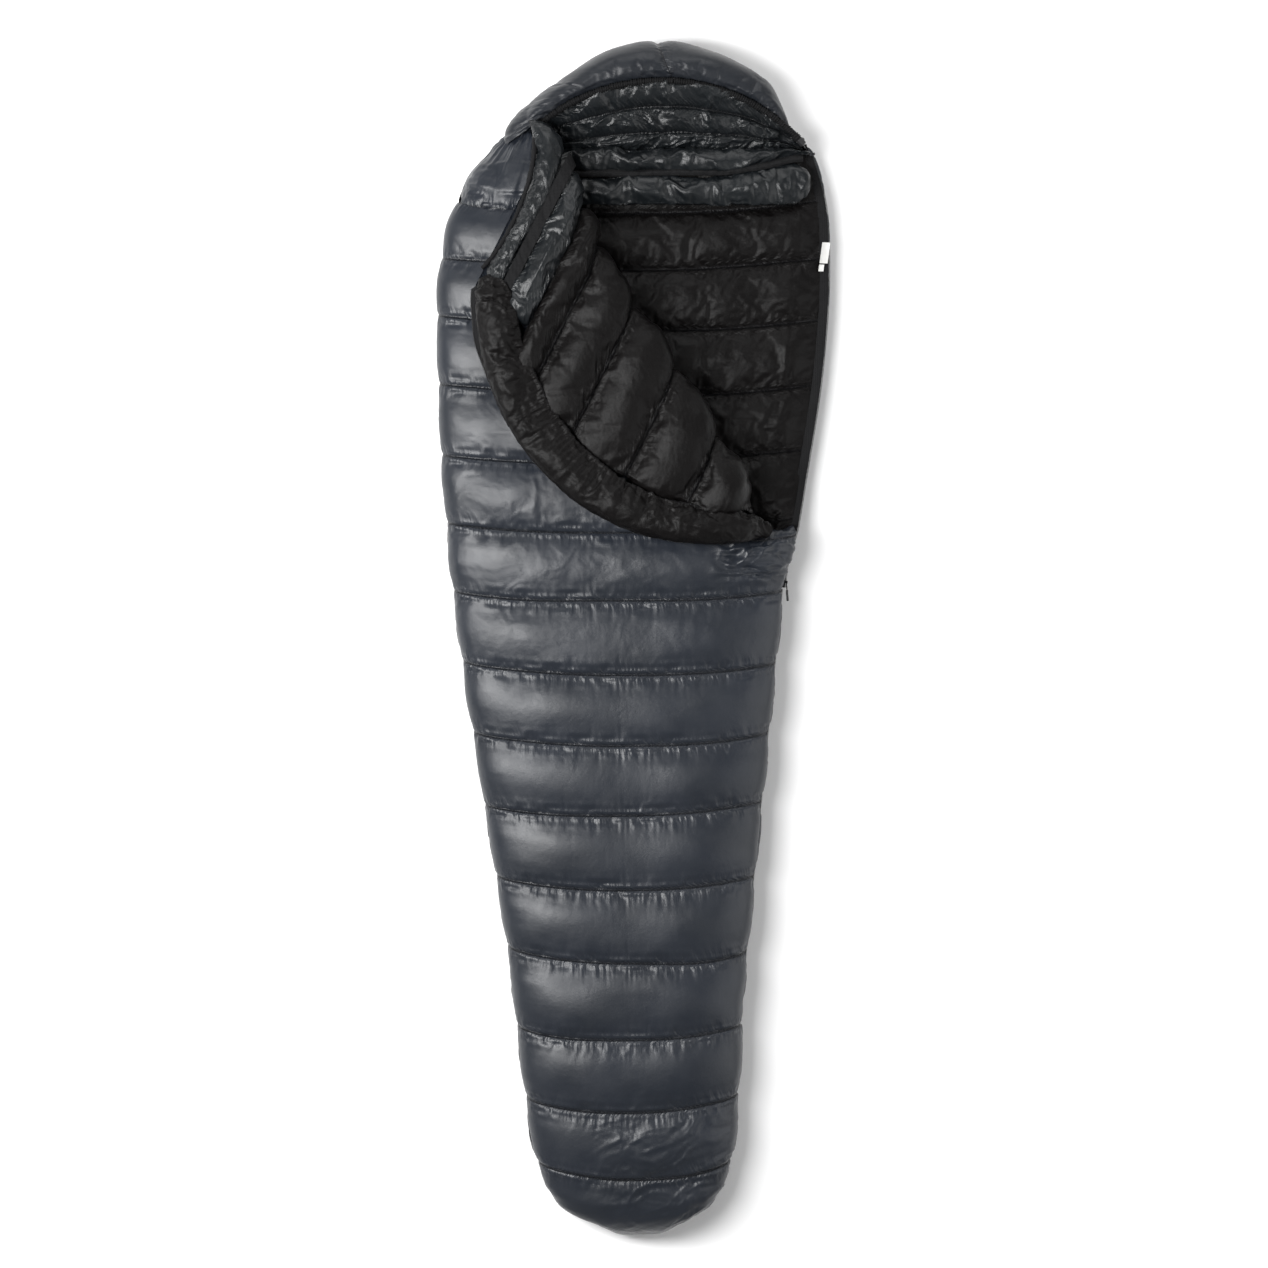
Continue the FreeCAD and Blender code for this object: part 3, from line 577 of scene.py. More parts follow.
def quilt_grid(seams, sign, columns):
    """The smooth outer surface of the front quilt (sign 1) or the back quilt (sign -1), with its rows."""
    y, share, number, away = chamber_rows(seams)
    left, right = bag_sides(y)
    points = np.zeros((len(y), columns, 3))
    for r in range(len(y)):
        if sign > 0:
            reach, power = front_rise(y[r]), 3.0
        else:
            reach, power = mate_height(y[r]) * foot_closing(y[r]), 4.6
        line = half_section(
            left[r], right[r], mate_height(y[r]), reach, power, channel_depth(y[r]), columns, sign
        )
        points[r, :, 0] = line[:, 0]
        points[r, :, 2] = line[:, 1]
    side = np.linspace(-1, 1, columns)
    points[:, :, 1] = bowed(y, share, number, side, 40)
    return points, share, number, away


def cut_plane(obj, point, normal):
    """Cuts off what lies beyond a plane."""
    mesh = bmesh.new()
    mesh.from_mesh(obj.data)
    parts = mesh.verts[:] + mesh.edges[:] + mesh.faces[:]
    bmesh.ops.bisect_plane(
        mesh, geom=parts, plane_co=point, plane_no=normal, clear_outer=True, dist=1e-6
    )
    mesh.to_mesh(obj.data)
    mesh.free()


def edges_pinned(points, away):
    """True on the seams and along both sides of a grid."""
    pinned = np.zeros(points.shape[:2], bool)
    pinned[np.broadcast_to(away, pinned.shape) == 0] = True
    pinned[:, :2] = True
    pinned[:, -2:] = True
    return pinned


def lane_lengths(points):
    """Distance along each row from its left end."""
    step = np.linalg.norm(np.diff(points, axis=1), axis=2)
    return np.concatenate([np.zeros((len(points), 1)), np.cumsum(step, axis=1)], axis=1)


def finish_quilt(name, points, away, material, seed, strength=1.0, extra=None, downward=False):
    """Halves the grid's spacing, adds the puckers along the seams and makes the mesh."""
    points = refine(points)
    away = refine(np.broadcast_to(away[:, None], (len(away), 2)).astype(float), smooth=False)[:, :1]
    along = lane_lengths(points)
    lane = along + LANE_SHIFT * np.cumsum(away[:, 0] == 0)[:, None]
    n = grid_normals(points)
    n *= np.sign(n[:, :, 2:3].mean())
    lift = puckers(lane, np.broadcast_to(away, along.shape), seed, strength)
    if extra is not None:
        lift = lift + extra(points, away)
    points = points + n * lift[:, :, None]
    values = {"seam": np.broadcast_to(away, along.shape), "along": lane}
    return grid_object(name, points, material, attributes=values, downward=downward)


FRONT_SEAMS = [FOOT_END] + SEAMS[:-1]


def front_quilt():
    points, share, number, away = quilt_grid(FRONT_SEAMS, 1, 118)
    height = np.clip((points[:, :, 2] - MATE_Z) / 62, 0, 1)
    depth = mix(SIDE_DIP, SEAM_DIP, height)
    n = normals_up(points)
    foot_end = (number == 0) & (share == 0)
    drawn = (1 - lobe(share)) * ~foot_end
    points = points - n * (depth * drawn[:, None])[:, :, None]
    x, y = points[:, :, 0], points[:, :, 1]
    points = points + n * (1.6 * noise(x / 110, y / 60, 3) * lobe(share)[:, None])[:, :, None]
    pinned = edges_pinned(points, away[:, None])
    settled = settle(points, pinned, away[:, None], 11, 0.03, 1.3, reach=20, middle=0.0, smooth=8)
    return mix(points, settled, mix(0.3, 1.0, ease(height, 0.15, 0.75))[:, :, None]), away


def shell_creases(points, away):
    """Faint folds beside the open flap, slanting folds at the foot and a scrunched corner by the slider."""
    x, y = points[:, :, 0], points[:, :, 1]
    beside_flap = ease(y, -80, 60) * (1 - ease(y, 440, 560))
    lift = beside_flap * crumple(x / 1.6, y / 1.4, 61, 30, 0.7)
    at_foot = (1 - ease(y, -880, -790)) * ease(x, -110, 10)
    lift = lift + at_foot * crumple((x + 0.9 * y) / 2.6, (y - 0.45 * x) / 0.9, 62, 30, 1.9)
    corner = ease(x, 120, 190) * ease(y, 78, 110)
    lift = lift + corner * crumple(x * 0.7, y * 1.5, 63, 30, 7.0)
    return lift * np.clip(away / 12, 0, 1)


def make_front():
    """The front quilt: whole up to the seam above the slider, and cut along the fold above that."""
    points, away = front_quilt()
    x, y = points[:, :, 0], points[:, :, 1]
    corner = ease(x, 130, 225) * ease(y, 95, 190) * (1 - ease(y, 215, 260))
    points[:, :, 1] -= 30 * corner
    points[:, :, 2] += 7 * corner * np.sin(np.clip(away[:, None] / 30, 0, 1) * math.pi / 2)
    split = int(np.searchsorted(chamber_rows(FRONT_SEAMS)[0], CORNER_SEAM - 0.5))
    whole = rounded_end(points[: split + 1])
    whole_away = away_with_end(away[: split + 1])
    lower = finish_quilt("front_quilt_shell_lower", whole, whole_away, SHELL, 11, 1.3, shell_creases)
    upper = finish_quilt(
        "front_quilt_shell_upper", points[split:], away[split:], SHELL, 11, 1.3, shell_creases
    )
    edge = FOLD_START - ACROSS * 3
    cut_plane(upper, (edge[0] * MM, edge[1] * MM, 0), (-ACROSS[0], -ACROSS[1], 0))
    for obj in (lower, upper):
        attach(obj, "bag")
        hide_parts("front_shell", "front_down", "front_baffle_walls")


END_STEPS = 7  # rows that turn the shell down at the corner by the slider


def rounded_end(points):
    """Adds rows that turn the shell down at the seam where the fold begins, right of the fold."""
    last = points[-1]
    past_fold = (last[:, 0] - FOLD_START[0]) * ACROSS[0] + (last[:, 1] - FOLD_START[1]) * ACROSS[1]
    open_side = ease(-past_fold, -30, 20)
    rows = [points]
    for k in range(1, END_STEPS + 1):
        turn = math.pi / 2 * k / END_STEPS
        row = last.copy()
        row[:, 1] += 16 * math.sin(turn) * open_side
        row[:, 2] -= (row[:, 2] - 52) * (1 - math.cos(turn)) * open_side + 3.0 * k * (1 - open_side)
        rows.append(row[None])
    return np.concatenate(rows)


def away_with_end(away):
    return np.concatenate([away, np.arange(1, END_STEPS + 1) * CELL])


def make_back_shell():
    """The outer fabric of the back quilt, which lies flat on the floor."""
    seams = [FOOT_END] + SEAMS
    points, share, number, away = quilt_grid(seams, -1, 104)
    drop = MATE_Z - edge_height(chamber_rows(seams)[0])
    side = np.linspace(-1, 1, points.shape[1])
    from_floor = np.clip(points[:, :, 2] / MATE_Z, 0, 1)
    points[:, :, 2] -= drop[:, None] * ease(side, 0.55, 1.0)[None, :] * from_floor
    n = -normals_up(points)
    height = np.clip(points[:, :, 2] / 40, 0, 1)
    depth = mix(3.0, 9.0, height) * (1 - 0.35 * ease(points[:, :, 2], 40, MATE_Z))
    foot_end = (number == 0) & (share == 0)
    drawn = (1 - lobe(share)) * ~foot_end
    points = points - n * (depth * drawn[:, None])[:, :, None]
    pinned = edges_pinned(points, away[:, None]) | (points[:, :, 2] < 3)
    points = settle(points, pinned, away[:, None], 14, middle=0.3, downward=True)
    obj = finish_quilt("back_quilt_shell", points, away, SHELL, 23, 0.8, downward=True)
    mesh = obj.data
    co = np.zeros(len(mesh.vertices) * 3, np.float32)
    mesh.vertices.foreach_get("co", co)
    co = co.reshape(-1, 3)
    co[:, 2] = np.maximum(co[:, 2], 0.0004)
    mesh.vertices.foreach_set("co", co.ravel())
    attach(obj, "bag")
    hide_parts("back_shell", "back_down", "back_baffle_walls", "foot_shell", "foot_down")


def make_back_lining():
    """The black lining that shows where the bag is open, from below the slider to the neck."""
    seams = [s for s in SEAMS if s >= OPEN_LINING_START]
    y, share, number, away = chamber_rows(seams)
    columns = 112
    left, right = bag_sides(y)
    edge = edge_height(y)
    points = np.zeros((len(y), columns, 3))
    for r in range(len(y)):
        start, end = left[r] + 14, right[r] - 13
        line = np.array([
            (start, MATE_Z - 2), (start + 10, MATE_Z - 12), (start + 44, 52), (mix(start, end, 0.3), 47),
            (mix(start, end, 0.5), 46), (mix(start, end, 0.7), 46), (end - 60, 47), (end - 24, edge[r] + 3),
            (end, edge[r]),
        ])
        points[r, :, [0, 2]] = even_line(line, columns).T
    side = np.linspace(-1, 1, columns)
    points[:, :, 1] = bowed(y, share, number + 8, side, 90)
    inner = 1 - ease(np.abs(side), 0.86, 1.0)
    raised = (14.0 * lobe(share)[:, None] - 6.0) * inner[None, :]
    px, py = points[:, :, 0], points[:, :, 1]
    uneven = 2.6 * noise(px / 70, py / 45, 5) + crumple(px, py * 1.2, 71, 48, 2.6)
    raised = raised + uneven * lobe(share)[:, None]
    points[:, :, 2] += raised * inner[None, :]
    points = settle(points, edges_pinned(points, away[:, None]), away[:, None], 16, slack=0.04, middle=0.5)
    obj = finish_quilt("back_quilt_lining", points, away, LINING, 37, 2.0)
    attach(obj, "bag")
    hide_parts("back_liner")


def make_front_lining():
    """The front quilt's lining, seen only under the fold."""
    seams = [s for s in SEAMS if s >= OPEN_LINING_START]
    y, share, _, away = chamber_rows(seams, 12.0)
    columns = 60
    left, right = bag_sides(y)
    points = np.zeros((len(y), columns, 3))
    for r in range(len(y)):
        start, end = left[r] + 16, right[r] - 34
        line = np.array([
            (start, MATE_Z + 4), (start + 12, MATE_Z + 12), (start + 40, 84), (mix(start, end, 0.5), 87),
            (end - 40, 84), (end - 8, MATE_Z + 12), (end, MATE_Z + 2),
        ])
        points[r, :, [0, 2]] = even_line(line, columns).T
    points[:, :, 1] = y[:, None]
    points[:, :, 2] += 6 * (1 - lobe(share))[:, None]
    obj = finish_quilt("front_quilt_lining", points, away, LINING, 41, 0.6)
    fold = FOLD_START + ACROSS * 6
    cut_plane(obj, (fold[0] * MM, fold[1] * MM, 0), (-ACROSS[0], -ACROSS[1], 0))
    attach(obj, "bag")
    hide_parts("front_liner", "draft_tube_lower")


# ---- the flap ------------------------------------------------------------------------------------

FLAP_SEAMS = [22, 169, 308, 443, 560, 624]
COLLAR_LOW = 622.0
COLLAR_MID = 689.0
HEM_LOW = 705.0
# How far the flap reaches from the fold's middle line to its free edge, by seam position.
FLAP_WIDTH = [
    (22, -8), (58, 30), (100, 66), (139, 98), (200, 138), (278, 176), (360, 208), (445, 230), (560, 242),
    (660, 238), (725, 214), (768, 165), (801, 60),
]
# The hem: seam position by distance over the flap.
HEM_LINE = [(-92, 806), (-62, 802), (-43, 782), (-11, 760), (30, 748), (88, 745), (146, 756), (177, 770)]
ROLL_REACH = [(22, 34), (80, 52), (160, 58), (560, 58), (640, 70), (716, 84), (801, 66)]
ROLL_HEIGHT = 49.0
LINING_THICKNESS = 46.0  # of the flap, from the middle of its fold up to its lining
TAPE_THICKNESS = 37.0  # the same where the collar's tapes pull it in
# The padded tube along the free edge: its middle line and its half width and half height.
DRAFT_TUBE = [
    (-258, 622, 158, 14, 13), (-243, 585, 163, 33, 22), (-214, 466, 164, 38, 25), (-158, 356, 164, 40, 25),
    (-76, 268, 164, 40, 25), (10, 219, 163, 38, 25), (98, 195, 160, 34, 24), (176, 187, 148, 30, 22),
    (236, 182, 122, 13, 13),
]


def fold_point(s, t, z):
    """From (along the fold, over the flap, height) to the row frame, in mm."""
    x = FOLD_START[0] + ALONG[0] * s + ACROSS[0] * t
    y = FOLD_START[1] + ALONG[1] * s + ACROSS[1] * t
    return np.stack(np.broadcast_arrays(x, y, z), axis=-1)


def flap_line(width, reach, thickness, count):
    """A section of the flap as (t, z): round the fold, over the top and down its free edge."""
    angle = np.linspace(-1.0, 1.0, 60) * math.pi / 2
    roll = np.stack([-reach * np.cos(angle), FOLD_Z + ROLL_HEIGHT * np.sin(angle)], axis=1)
    roll[:, 1] -= (ROLL_HEIGHT - thickness) * ease(angle, 0.2, math.pi / 2)
    top = FOLD_Z + thickness
    width = max(width, -reach + 24)
    half = thickness * 0.5
    turn = np.linspace(0, 1, 30) * math.pi * 0.62
    edge = np.stack([width - half + half * np.sin(turn), top - half + half * np.cos(turn)], axis=1)
    flat_end = width - half
    if flat_end < 0:
        line = np.concatenate([roll[roll[:, 0] < max(flat_end, -reach + 2)], edge])
    else:
        flat = np.array([(t, top) for t in np.linspace(0, flat_end, 20)[1:]])
        line = np.concatenate([roll, flat, edge])
    return even_line(line, count)


def flap_sections(q, width, columns, thickness):
    """(t, z) for every point of a strip of the flap."""
    reach = along_table(ROLL_REACH, q)
    return np.stack([flap_line(w, r, thickness, columns) for w, r in zip(width, reach)])


def bend_with_fold(obj):
    """Bakes the object's placement into its mesh; nothing is bent."""
    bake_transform(obj)


def make_flap_lining():
    """The lining side of the flap, in slanting chambers, from the fold to under the draft tube."""
    q, share, _, away = chamber_rows(FLAP_SEAMS)
    width = along_table(FLAP_WIDTH, q) - mix(24, 40, ease(q, 100, 200))
    t_z = flap_sections(q, width, 78, LINING_THICKNESS)
    t, z = t_z[:, :, 0], t_z[:, :, 1]
    z = mix(FOLD_Z - 28, z, ease(q, 5, 95)[:, None])
    points = fold_point(q[:, None] - SEAM_SLOPE * t, t, z)
    n = normals_up(points)
    from_tube = np.clip((width[:, None] - t) / 70, 0, 1)
    full = lobe(share)[:, None] * (0.35 + 0.65 * lobe(from_tube * 0.5))
    x, y = points[:, :, 0], points[:, :, 1]
    lift = 3.0 * noise(x / 60, y / 60, 82) * full - 21.0 * (1 - full)
    points = points + n * lift[:, :, None]
    points = settle(points, edges_pinned(points, away[:, None]), away[:, None], 22, slack=0.04, middle=0.4)
    obj = finish_quilt("flap_lining_quilt", points, away, LINING, 83, 2.2)
    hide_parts("flap_liner", "flap_down", "flap_baffle_walls", "fold_down", "fold_liner")
    bend_with_fold(obj)


def finish_tube(name, points, away, material, seed, gathered, crushed):
    """Makes a closed tube of crumpled fabric with puckers along its seams, kept above the flap's shell."""
    points = refine_closed(points)
    away = refine(np.concatenate([away, away[:, :1]], axis=1), smooth=False)[:, :-1]
    length = np.linalg.norm(np.diff(points.mean(axis=1), axis=0), axis=1)
    along = np.broadcast_to(np.concatenate([[0], np.cumsum(length)])[:, None], away.shape)
    around = lane_lengths(points)
    wrapped = np.concatenate([points[:, -2:], points, points[:, :2]], axis=1)
    n = grid_normals(wrapped)[:, 2:-2]
    n *= np.sign((n * (points - points.mean(axis=1, keepdims=True))).sum())
    lift = puckers(along, away, seed, gathered)
    seam_side = np.exp(-((around / 60) ** 2)) + np.exp(-(((around - around[:, -1:]) / 60) ** 2))
    lift = lift + crumple(along, around * 1.2, seed + 3, 30, crushed) * (1 - 0.6 * np.clip(seam_side, 0, 1))
    points = points + n * lift[:, :, None]
    points[:, :, 2] = np.maximum(points[:, :, 2], FOLD_Z + 11.5 - 46 * ease(points[:, :, 0], 165, 235))
    return grid_object(name, points, material, closed=True, attributes={"seam": away, "along": along})


def refine_closed(points):
    count = points.shape[1]
    wrapped = np.concatenate([points[:, -2:], points, points[:, :2]], axis=1)
    return refine(wrapped)[:, 4 : 4 + 2 * count]


def make_draft_tube():
    """The crinkled padded tube along the flap's free edge."""
    table = np.array(DRAFT_TUBE, float)
    index = np.linspace(0, len(table) - 1, 300)
    numbered = np.column_stack([np.arange(len(table)), table])
    line = np.stack([along_table(numbered, index, k) for k in range(1, 6)], axis=1)
    line = even_line(line, 150)
    points, angle = tube_grid(line[:, :3], line[:, 3], line[:, 4], UP, 44)
    away_angle = np.abs(np.angle(np.exp(1j * (angle - math.radians(150)))))
    away = away_angle[None, :] * (line[:, 3:4] + line[:, 4:5]) / 2
    points[:, :, 2] = np.maximum(points[:, :, 2], FOLD_Z + 2.5 - 40 * ease(points[:, :, 0], 150, 230))
    pinned = np.zeros(points.shape[:2], bool)
    pinned[:, np.argmin(away_angle)] = True
    pinned[:2] = True
    pinned[-2:] = True
    points = settle(points, pinned, away, 18, slack=0.11, pressure=2.5, middle=0.9, closed=True)
    obj = finish_tube("flap_draft_tube_quilt", points, away, LINING, 84, 3.0, 4.0)
    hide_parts("flap_draft_tube")
    bend_with_fold(obj)


def make_flap_collar():
    """The flap's share of the collar: a puffy tube, a black tape and a pleated strip to the hem."""
    for name, low, thickness, node in (
        ("flap_collar_tube", COLLAR_LOW, 50.0, "flap_collar_lower"),
        ("flap_collar_hem", HEM_LOW, 42.0, "flap_collar_upper"),
    ):
        rows, columns = 17, 84
        share = np.linspace(0, 1, rows)
        high = COLLAR_MID if low == COLLAR_LOW else 775.0
        q = mix(low, high, share)
        t_z = flap_sections(q, 146 + 0.16 * (q - low), columns, thickness)
        t, z = t_z[:, :, 0], t_z[:, :, 1]
        top = COLLAR_MID + 0 * t if low == COLLAR_LOW else along_table(HEM_LINE, t)
        seam_q = mix(low, top, share[:, None])
        points = fold_point(seam_q - SEAM_SLOPE * t, t, z)
        n = normals_up(points)
        points = points - n * (22.0 * (1 - lobe(share))[:, None] * np.ones(t.shape))[:, :, None]
        away = np.minimum(share, 1 - share)[:, None] * (top - low)
        pinned = edges_pinned(points, away)
        points = settle(points, pinned, away, 13, slack=0.06, middle=0.4)
        points = refine(points)
        away = refine(away, smooth=False)
        along = lane_lengths(points)
        n = normals_up(points)
        lift = puckers(along, away, 86, 1.7) + crumple(along, away, 85, 34, 0.6)
        points = points + n * lift[:, :, None]
        obj = grid_object(name, points, COLLAR_SHADED_FABRIC, attributes={"seam": away, "along": along})
        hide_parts(node)
        bend_with_fold(obj)
    rows = []
    for q in (COLLAR_MID - 4.0, COLLAR_MID, 0.5 * (COLLAR_MID + HEM_LOW), HEM_LOW, HEM_LOW + 4.0):
        line = flap_line(150.0, float(along_table(ROLL_REACH, q)), TAPE_THICKNESS, 140)
        rows.append(fold_point(q - SEAM_SLOPE * line[:, 0], line[:, 0], line[:, 1]))
    points = np.stack(rows)
    along = lane_lengths(points)
    points[:, :, 2] += 1.4 * noise(along / 7, along * 0 + np.arange(5)[:, None] / 3, 87)
    obj = grid_object("flap_collar_tape", points, ELASTIC)
    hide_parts("flap_collar_elastic")
    bend_with_fold(obj)


def make_flap_shell():
    """The shell side of the flap, which lies face down on the front quilt."""
    q, share, _, away = chamber_rows(FLAP_SEAMS + [758])
    width = along_table(FLAP_WIDTH, q) - 6
    start = np.minimum(-3.0, width - 14)
    across = np.linspace(0, 1, 44)[None, :]
    t = mix(start[:, None], width[:, None], across)
    rise = 3.0 * ease(across, 0.86, 1.0) ** 2
    points = fold_point(q[:, None] - SEAM_SLOPE * t, t, FOLD_Z + 1.5 + rise)
    points[:, :, 2] += 6.0 * (1 - lobe(share))[:, None]
    points = refine(points)
    away = refine(np.broadcast_to(away[:, None], t.shape).astype(float), smooth=False)
    along = lane_lengths(points)
    points[:, :, 2] += np.minimum(np.abs(puckers(along, away, 88, 1.0)), 2.5)
    obj = grid_object("flap_shell_quilt", points, SHELL, attributes={"seam": away, "along": along})
    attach(obj, "flap")
    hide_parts("flap_shell")


def make_flap_edge():
    """The zip tape and teeth on the flap's free edge, and the binding on its hem."""
    q = np.linspace(110, 758, 320)
    width = along_table(FLAP_WIDTH, q)
    t = width - 2.0
    line = fold_point(q - SEAM_SLOPE * t, t, FOLD_Z + 11.0)
    tape = strip_object("flap_zip_strip", line, (ACROSS[0] * 14, ACROSS[1] * 14, -3.0), 5, 161)
    t = width + 6.0
    line = fold_point(q - SEAM_SLOPE * t, t, FOLD_Z + 9.0)
    teeth = teeth_object("flap_zip_teeth", line, (ACROSS[0], ACROSS[1], 0), (3.2, 2.4))
    for obj, slot, node in ((tape, "zip_tape", "flap_zip_tape"), (teeth, "zip_teeth", "flap_zip_coil")):
        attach(obj, "flap")
        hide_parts(node)
    t = np.linspace(-47, 154, 240)
    q = along_table(HEM_LINE, t)
    height = FOLD_Z + 20 + 12 * ease(-t, -20, 60) - 24 * ease(-t, 25, 50)
    spine = fold_point(q + 2 - SEAM_SLOPE * t, t, height)
    gather = 4.4 + 0.9 * noise(t / 5, t * 0, 163)
    points, _ = tube_grid(spine, gather, gather, UP, 16)
    hem = grid_object("flap_hem_tape", points, ELASTIC, closed=True)
    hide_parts("flap_hem_binding")
    bend_with_fold(hem)


# The front quilt's last chamber, from the seam below it to where it is gathered under the hood's binding:
# left edge, edge under the flap, and how high it stands above the side line, by distance along the bag.
SHOULDER = [
    (752, -311, -170, 70), (780, -302, -158, 69), (806, -288, -150, 67), (839, -260, -148, 62),
    (862, -240, -150, 54), (880, -219, -154, 43), (895, -197, -160, 30), (904, -184, -168, 20),
]
SHOULDER_LENGTH = SHOULDER[-1][0] - SHOULDER[0][0]


def make_shoulder():
    """The front quilt's last chamber, which is gathered to a point at the left end of the face opening."""
    y, share, _, _ = chamber_rows([SHOULDER[0][0], SHOULDER[-1][0]], 5.0)
    columns = 64
    left, right, rise = (along_table(SHOULDER, y, k) for k in (1, 2, 3))
    points = np.zeros((len(y), columns, 3))
    for r in range(len(y)):
        middle_z = mix(MATE_Z, 78.0, float(ease(y[r], 850, 904)))
        line = half_section(left[r], 2 * right[r] - left[r], middle_z, rise[r], 2.6, 0.0, 2 * columns - 1, 1)
        points[r, :, 0] = line[:columns, 0]
        points[r, :, 2] = line[:columns, 1]
    side = np.linspace(-1, 0.2, columns)
    points[:, :, 1] = y[:, None] + seam_bow(side, len(FRONT_SEAMS) - 1, 40)[None, :] * (1 - share)[:, None]
    n = normals_up(points, 8)
    height = np.clip((points[:, :, 2] - MATE_Z) / 62, 0, 1)
    lower_seam = np.exp(-((share / 0.16) ** 1.4))[:, None]
    points = points - n * (mix(SIDE_DIP, SEAM_DIP, height) * lower_seam)[:, :, None]
    from_seam = np.minimum(share, 1 - share)[:, None] * SHOULDER_LENGTH
    points = settle(points, edges_pinned(points, from_seam), from_seam, 9, slack=0.06, middle=0.4, smooth=3)
    points = refine(points)
    fine_share = np.linspace(0, 1, len(points))[:, None]
    along = lane_lengths(points)
    from_low = np.broadcast_to(fine_share * SHOULDER_LENGTH, along.shape)
    from_top = SHOULDER_LENGTH - from_low
    fan = along / np.maximum(along[:, -1:], 1) * 150
    n = normals_up(points, 16)
    lift = puckers(along, from_low, 193, 2.4)
    lift = lift + 5.0 * noise(fan / 8, from_top / 130, 194) * np.exp(-from_top / 55) * ease(from_top, 0, 12)
    lift = lift + 2.4 * noise(fan / 4.2, from_top / 60, 195) * np.exp(-from_top / 30)
    points = points + n * lift[:, :, None]
    values = {"seam": np.minimum(from_low, from_top + 5), "along": along}
    obj = grid_object("front_quilt_shoulder", points, SHELL, attributes=values)
    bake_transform(obj)


# ---- collar, hood and trims ----------------------------------------------------------------------


def tube_grid(spine, radius_a, radius_b, up, count):
    """A tube round a line of points: radius_a sideways and radius_b along up."""
    spine = np.asarray(spine, float)
    tangent = np.gradient(spine, axis=0)
    tangent /= np.linalg.norm(tangent, axis=1, keepdims=True)
    side = np.cross(tangent, up)
    side /= np.linalg.norm(side, axis=1, keepdims=True)
    top = np.cross(side, tangent)
    angle = np.linspace(0, 2 * math.pi, count, endpoint=False)
    cos, sin = np.cos(angle), np.sin(angle)
    a = np.broadcast_to(np.asarray(radius_a, float), (len(spine),))
    b = np.broadcast_to(np.asarray(radius_b, float), (len(spine),))
    return (
        spine[:, None, :]
        + side[:, None, :] * (a[:, None] * cos[None, :])[:, :, None]
        + top[:, None, :] * (b[:, None] * sin[None, :])[:, :, None]
    ), angle


COLLAR_TAPE_Y = 812.0
COLLAR_TAPE_Z = 77.0


def collar_step(x):
    """How far the tape round the neck rises towards the hood near the zip."""
    return 26 * ease(x, 145, 300)


def make_collar():
    """The neck collar: a padded tube on each side of its elastic tape."""
    for name, low, high, top, seed, node in (
        ("collar_tube_lower", 758, 806, 82, 101, "collar_lower"),
        ("collar_tube_upper", 817, 856, 84, 102, "collar_upper"),
    ):
        x = np.arange(-214, 312, 3.2)
        step = collar_step(x)
        low_step, high_step = (0 * step, step) if name.endswith("lower") else (step, 0 * step)
        y_low = low + low_step
        y_high = high + high_step + 2 * noise(x / 50, x * 0, seed)
        z = np.full(len(x), (top + INSIDE_Z) / 2)
        taper = np.sqrt(np.clip(1 - (np.abs(x - 49) / 264) ** 14, 0.05, 1))
        spine = np.stack([x, (y_low + y_high) / 2, z], axis=1)
        half_height = (top - INSIDE_Z) / 2 * taper
        points, angle = tube_grid(spine, (y_high - y_low) / 2 * taper, half_height, UP, 56)
        around = angle[None, :] * (high - low) / 2
        away_low = np.abs(np.angle(np.exp(1j * angle))) * 26
        away_high = np.abs(np.angle(np.exp(1j * (angle - math.pi)))) * 26
        away = np.minimum(away_low, away_high)[None, :] * np.ones((len(x), 1))
        along = x[:, None] * np.ones((1, len(angle)))
        n = points - spine[:, None, :]
        n /= np.linalg.norm(n, axis=2, keepdims=True)
        pinned = np.broadcast_to((away_low < 3) | (away_high < 3), away.shape).copy()
        pinned[:2] = True
        pinned[-2:] = True
        points = settle(points, pinned, away, 9, slack=0.1, middle=0.9, closed=True)
        lift = puckers(along, away, seed, 2.2) + crumple(along, around * 0.8, seed + 3, 38, 3.2)
        lift = lift * np.clip(np.sin(angle)[None, :] + 0.6, 0.15, 1)
        points = points + n * lift[:, :, None]
        points[:, :, 2] = np.maximum(points[:, :, 2], INSIDE_Z)
        obj = grid_object(name, points, COLLAR_SHADED_FABRIC, closed=True, attributes={"seam": away, "along": along})
        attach(obj, "bag")
        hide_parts(node)
    x = np.arange(-212, 300, 2.0)
    y = COLLAR_TAPE_Y + collar_step(x) + 2.5 * noise(x / 60, x * 0, 103)
    rows = []
    for offset in (-6.5, -3.0, 0.0, 3.0, 6.5):
        z = COLLAR_TAPE_Z - 0.1 * offset**2 + 1.3 * noise(x / 6, x * 0 + offset / 8, 104)
        rows.append(np.stack([x, y + offset, z], axis=1))
    obj = grid_object("collar_tape", np.stack(rows), ELASTIC)
    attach(obj, "bag")
    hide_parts("collar_elastic")


RIM_POINTS = (np.array([-168.0, 892, 118]), np.array([45.0, 968, 128]), np.array([288.0, 872, 84]))


def arc_points(count, start=0.0, end=1.0):
    """Points on the circle through the face opening's two ends and its crown."""
    a, b, c = RIM_POINTS
    ab, ac = b - a, c - a
    axis = np.cross(ab, ac)
    centre = a + (
        np.cross(axis, ab) * ac.dot(ac) + np.cross(ac, axis) * ab.dot(ab)
    ) / (2 * axis.dot(axis))
    u = a - centre
    radius = np.linalg.norm(u)
    u /= radius
    w = axis / np.linalg.norm(axis)
    v = np.cross(w, u)
    end_angle = math.atan2((c - centre).dot(v), (c - centre).dot(u)) % (2 * math.pi)
    angle = np.linspace(start, end, count) * end_angle
    return centre + radius * (np.cos(angle)[:, None] * u + np.sin(angle)[:, None] * v)


